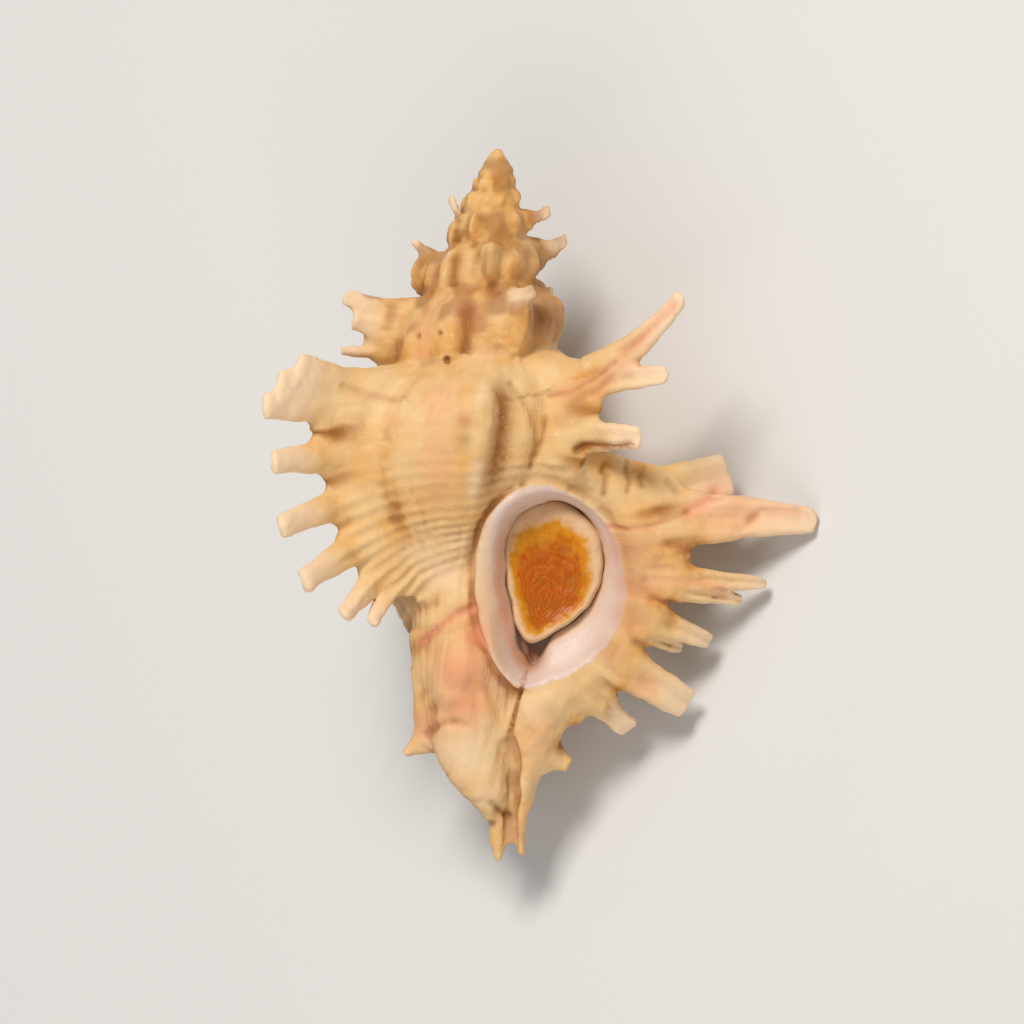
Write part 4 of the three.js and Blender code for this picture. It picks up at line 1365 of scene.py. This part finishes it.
def build_shell(sizes, material):
    clay, guides = modelled_shell(sizes)
    points, quads = clay.surface()
    normals = clay.outwards(points)
    relief = worn_relief(points, normals, Whorls(points), spine_share(points, guides), sizes)
    dense = filled_mesh("murex", points + normals * relief[:, None], quads)
    mesh = thinned(dense, sizes.triangles)
    points, _ = mesh_arrays(mesh)
    marks = surface_marks(points, clay.outwards(points), Whorls(points), clay, guides)
    floor_height = laid_down(points)[:, 2] / MM
    low = floor_height < 0
    if low.any():
        upwards = (laid_down(np.eye(3)) - laid_down(np.zeros(3)))[:, 2] / MM
        points[low] -= np.outer(floor_height[low], upwards)
    return finished_piece("murex_shell", mesh, points, material, marks)


def build_operculum(material):
    outline = np.array(OPERCULUM_OUTLINE, dtype=float)
    ring = round_the_mouth(np.column_stack((outline, np.zeros(len(outline)))))
    ring[:, :2] += np.stack((noise_at(ring, "edge across"), noise_at(ring, "edge along")), axis=1)
    ring[:, 2] = OPERCULUM_HEIGHT
    source = closed_line("Operculum edge", ring)
    mesh = grown(source, operculum_tree(), Nucleus=(*OPERCULUM_NUCLEUS, OPERCULUM_HEIGHT))
    points, _ = mesh_arrays(mesh)
    return finished_piece("murex_operculum", mesh, points, material, {})


def shader_group(name, outputs):
    tree = bpy.data.node_groups.new(name, "ShaderNodeTree")
    for label, kind in outputs.items():
        tree.interface.new_socket(label, in_out="OUTPUT", socket_type=kind)
    nodes = Nodes(tree)
    return tree, nodes, nodes.add("NodeGroupOutput"), nodes.add("ShaderNodeTexCoord").outputs["Object"]


def tints_of(colours):
    """Every colour by its name, with its opacity."""
    return {name: (*getattr(colours, name), 1) for name in ShellColours.__annotations__}


def shell_colour_group(colours):
    """The shell's colour and how glossy it is, from its marks, with painted shade in its hollows, creases
    and notches and a painted highlight on its crests.
    """
    tree, nodes, output, place = shader_group(
        "Shell colours", {"Color": "NodeSocketColor", "Gloss": "NodeSocketFloat"}
    )
    tints = tints_of(colours)
    mark = {name: nodes.attribute(name) for name in (
        "hollow", "depth", "tip", "glazed", "pink", "brown", "shade", "crest", "notch", "warm",
    )}
    blotch = nodes.noise(place, 260, 3.0)
    speckle = nodes.noise(place, 1500, 3.0, 0.6)
    # Warm blotches and places, with painted shade in the wider hollows and the notches.
    gold = nodes.plus(
        nodes.times(nodes.ramp(blotch, 0.42, 0.68), 0.55), nodes.times(mark["depth"], 0.4),
        nodes.times(mark["warm"], 0.35), nodes.times(mark["notch"], 0.8), clamp=True,
    )
    # Painted shade in the close hollows, as ochre.
    hollow = nodes.times(nodes.ramp(mark["hollow"], 0.3, 1.0), nodes.ramp(blotch, 0.3, 0.6, 0.35, 0.75))
    outer = nodes.painted(
        tints["cream"],
        (gold, tints["gold"]),
        (nodes.times(mark["shade"], nodes.ramp(speckle, 0.2, 0.7, 0.7, 1.0)), tints["umber"]),
        # Painted highlight on the crests and the pale places.
        (nodes.times(mark["crest"], 0.8), tints["pale"]),
        (nodes.ramp(mark["tip"], 0.4, 1.05, 0.0, 0.85), tints["pale"]),
        (nodes.times(nodes.ramp(speckle, 0.56, 0.75), 0.35), tints["pale"]),
        (hollow, tints["ochre"]),
        # Brown stains, with painted shade in the creases, the notches, by the rim and on the right of the
        # spire.
        (nodes.times(mark["brown"], 0.88), tints["ochre"]),
        (nodes.times(mark["pink"], 0.8), tints["pink"]),
    )
    inner = nodes.painted(
        tints["porcelain"],
        # Pink seams and stains, with painted shade on the inner slope of the lip.
        (nodes.times(mark["pink"], 0.75), tints["pink"]),
        # Brown in the mouth as umber: painted shade in its gully, and real stains.
        (nodes.times(mark["brown"], 0.7), tints["umber"]),
    )
    nodes.feed(output, {
        "Color": nodes.painted(outer, (mark["glazed"], inner)),
        "Gloss": nodes.ramp(mark["glazed"], 0.2, 0.9, 0.5, 0.32),
    })
    return tree


def shell_relief_group():
    """Fine threads, growth lines and grain, as a height between nothing and one."""
    tree, nodes, output, place = shader_group("Shell relief", {"Height": "NodeSocketFloat"})
    ray, step, fine = nodes.attribute("ray"), nodes.attribute("step"), nodes.attribute("fine")
    wander = nodes.times(nodes.noise(place, 500), 3.0)
    threads = nodes.math("SINE", nodes.plus(nodes.times(ray, FULL_TURN * FINE_THREADS_PER_RAY), wander))
    threads = nodes.times(threads, nodes.ramp(nodes.noise(place, 330), 0.42, 0.62))
    growth = nodes.out("ShaderNodeCombineXYZ", (nodes.times(step, 90), nodes.times(ray, 2), 0.0))
    lines = nodes.plus(nodes.times(threads, 0.06), nodes.times(nodes.noise(growth, 1.0), 0.6))
    grain = nodes.times(nodes.noise(place, 2600, 4.0, 0.65), 0.45)
    nodes.feed(output, {"Height": nodes.plus(nodes.times(lines, fine), grain)})
    return tree


def surface_material(name):
    material = bpy.data.materials.new(name)
    material.use_nodes = True
    return material, Nodes(material.node_tree), material.node_tree.nodes["Principled BSDF"]


def shell_material(colours):
    material, nodes, surface = surface_material("shell")
    look = nodes.add("ShaderNodeGroup", node_tree=shell_colour_group(colours)).outputs
    height = nodes.out("ShaderNodeGroup", node_tree=shell_relief_group())
    nodes.feed(surface, {
        "Base Color": look["Color"],
        "Roughness": look["Gloss"],
        "Normal": nodes.out("ShaderNodeBump", {"Strength": 0.75, "Distance": 0.00012, "Height": height}),
        "Subsurface Weight": 0.08,
        "Subsurface Radius": (1, 0.5, 0.25),
        "Subsurface Scale": 0.0012,
        "Specular IOR Level": 0.25,
    })
    return material


def operculum_material(colours):
    material, nodes, surface = surface_material("operculum")
    tints = tints_of(colours)
    place = nodes.add("ShaderNodeTexCoord").outputs["Object"]
    ring = nodes.attribute("ring")
    cloud = nodes.noise(place, 900, 4.0, 0.6)
    margin = nodes.ramp(nodes.plus(ring, nodes.times(cloud, 0.35)), 0.92, 1.06)
    outer = nodes.ramp(nodes.plus(ring, nodes.times(cloud, 0.5)), 0.75, 1.05, 0.0, 0.8)
    colour = nodes.painted(
        tints["amber"],
        (nodes.ramp(cloud, 0.4, 0.75, 0.0, 0.6), tints["ochre"]),
        (outer, tints["honey"]),
        (nodes.times(nodes.attribute("ridge"), 0.3), tints["honey"]),
        (margin, tints["chalk"]),
    )
    height = nodes.noise(place, 1300, 3.0)
    nodes.feed(surface, {
        "Base Color": colour,
        "Roughness": nodes.ramp(margin, 0, 1, 0.34, 0.6),
        "Normal": nodes.out("ShaderNodeBump", {"Strength": 0.3, "Distance": 0.0001, "Height": height}),
        "Specular IOR Level": 0.22,
    })
    return material


def build_stage(colours):
    scene = bpy.context.scene
    scene.view_settings.view_transform = "Standard"
    world = bpy.data.worlds.new("studio")
    world.use_nodes = True
    background = world.node_tree.nodes["Background"]
    Nodes(world.node_tree).feed(background, {"Color": (1, 1, 1, 1), "Strength": SKY_STRENGTH})
    scene.world = world
    half = PHOTO_SIZE / 2
    middle = np.array(((half - PHOTO_APEX[0]) / PHOTO_SCALE, (PHOTO_APEX[1] - half) / PHOTO_SCALE, 0))
    target = Vector(laid_down(middle))
    eye = Vector(laid_down(middle + (0, 0, CAMERA_DISTANCE)))
    up = (Vector(laid_down(middle + (0, 1, 0))) - target).normalized()
    back = (eye - target).normalized()
    side = up.cross(back)
    camera = linked_object("camera", bpy.data.cameras.new("camera"))
    camera.data.sensor_width = SENSOR
    camera.data.lens = CAMERA_DISTANCE * SENSOR / (PHOTO_SIZE / PHOTO_SCALE)
    camera.data.clip_start = CLIP_START
    camera.matrix_world = Matrix.Translation(eye) @ Matrix((side, up, back)).transposed().to_4x4()
    scene.camera = camera
    for name, (place, power, size, colour) in LAMPS.items():
        lamp = linked_object(name, bpy.data.lights.new(name, "AREA"))
        lamp.data.energy = power
        lamp.data.size = size
        lamp.data.color = colour
        lamp.location = target + side * place[0] + up * place[1] + back * place[2]
        lamp.rotation_mode = "QUATERNION"
        lamp.rotation_quaternion = (target - lamp.location).to_track_quat("-Z", "Y")
    corners = [(x * FLOOR_REACH, y * FLOOR_REACH, 0) for x, y in ((-1, -1), (1, -1), (1, 1), (-1, 1))]
    floor = new_mesh_object("floor", corners, (), [(0, 1, 2, 3)])
    material, nodes, surface = surface_material("floor")
    nodes.feed(surface, {"Base Color": tints_of(colours)["floor"], "Roughness": FLOOR_ROUGHNESS})
    floor.data.materials.append(material)


def place_piece(piece, node):
    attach(piece, "root")
    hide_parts(node)


class MUREX_OT_shell(bpy.types.Operator):
    """Models the shell in place of its plain solid"""

    bl_idname = "murex.shell"
    bl_label = "Shell"

    def execute(self, context):
        material = shell_material(context.scene.murex_colours)
        place_piece(build_shell(context.scene.murex_sizes, material), "shell")
        return {"FINISHED"}


class MUREX_OT_operculum(bpy.types.Operator):
    """Makes the ringed operculum in place of its plain solid"""

    bl_idname = "murex.operculum"
    bl_label = "Operculum"

    def execute(self, context):
        material = operculum_material(context.scene.murex_colours)
        place_piece(build_operculum(material), "operculum")
        return {"FINISHED"}


class MUREX_OT_stage(bpy.types.Operator):
    """Sets up the floor, the soft lights and the camera"""

    bl_idname = "murex.stage"
    bl_label = "Stage"

    def execute(self, context):
        build_stage(context.scene.murex_colours)
        return {"FINISHED"}


class MUREX_PT_panel(bpy.types.Panel):
    bl_label = "Murex shell"
    bl_idname = "MUREX_PT_panel"
    bl_space_type = "VIEW_3D"
    bl_region_type = "UI"
    bl_category = "Murex"

    def draw(self, context):
        column = self.layout.column()
        for group in (context.scene.murex_sizes, context.scene.murex_colours):
            for name in group.__annotations__:
                column.prop(group, name)
        for one in OPERATORS:
            column.operator(one.bl_idname)


OPERATORS = (MUREX_OT_shell, MUREX_OT_operculum, MUREX_OT_stage)
CLASSES = (ShellSizes, ShellColours, *OPERATORS, MUREX_PT_panel)


def register():
    for one in CLASSES:
        bpy.utils.register_class(one)
    bpy.types.Scene.murex_sizes = bpy.props.PointerProperty(type=ShellSizes)
    bpy.types.Scene.murex_colours = bpy.props.PointerProperty(type=ShellColours)


def unregister():
    del bpy.types.Scene.murex_colours
    del bpy.types.Scene.murex_sizes
    for one in reversed(CLASSES):
        bpy.utils.unregister_class(one)


def main():
    register()
    bpy.ops.murex.shell()
    bpy.ops.murex.operculum()
    bpy.ops.murex.stage()


if __name__ == "__main__":
    main()
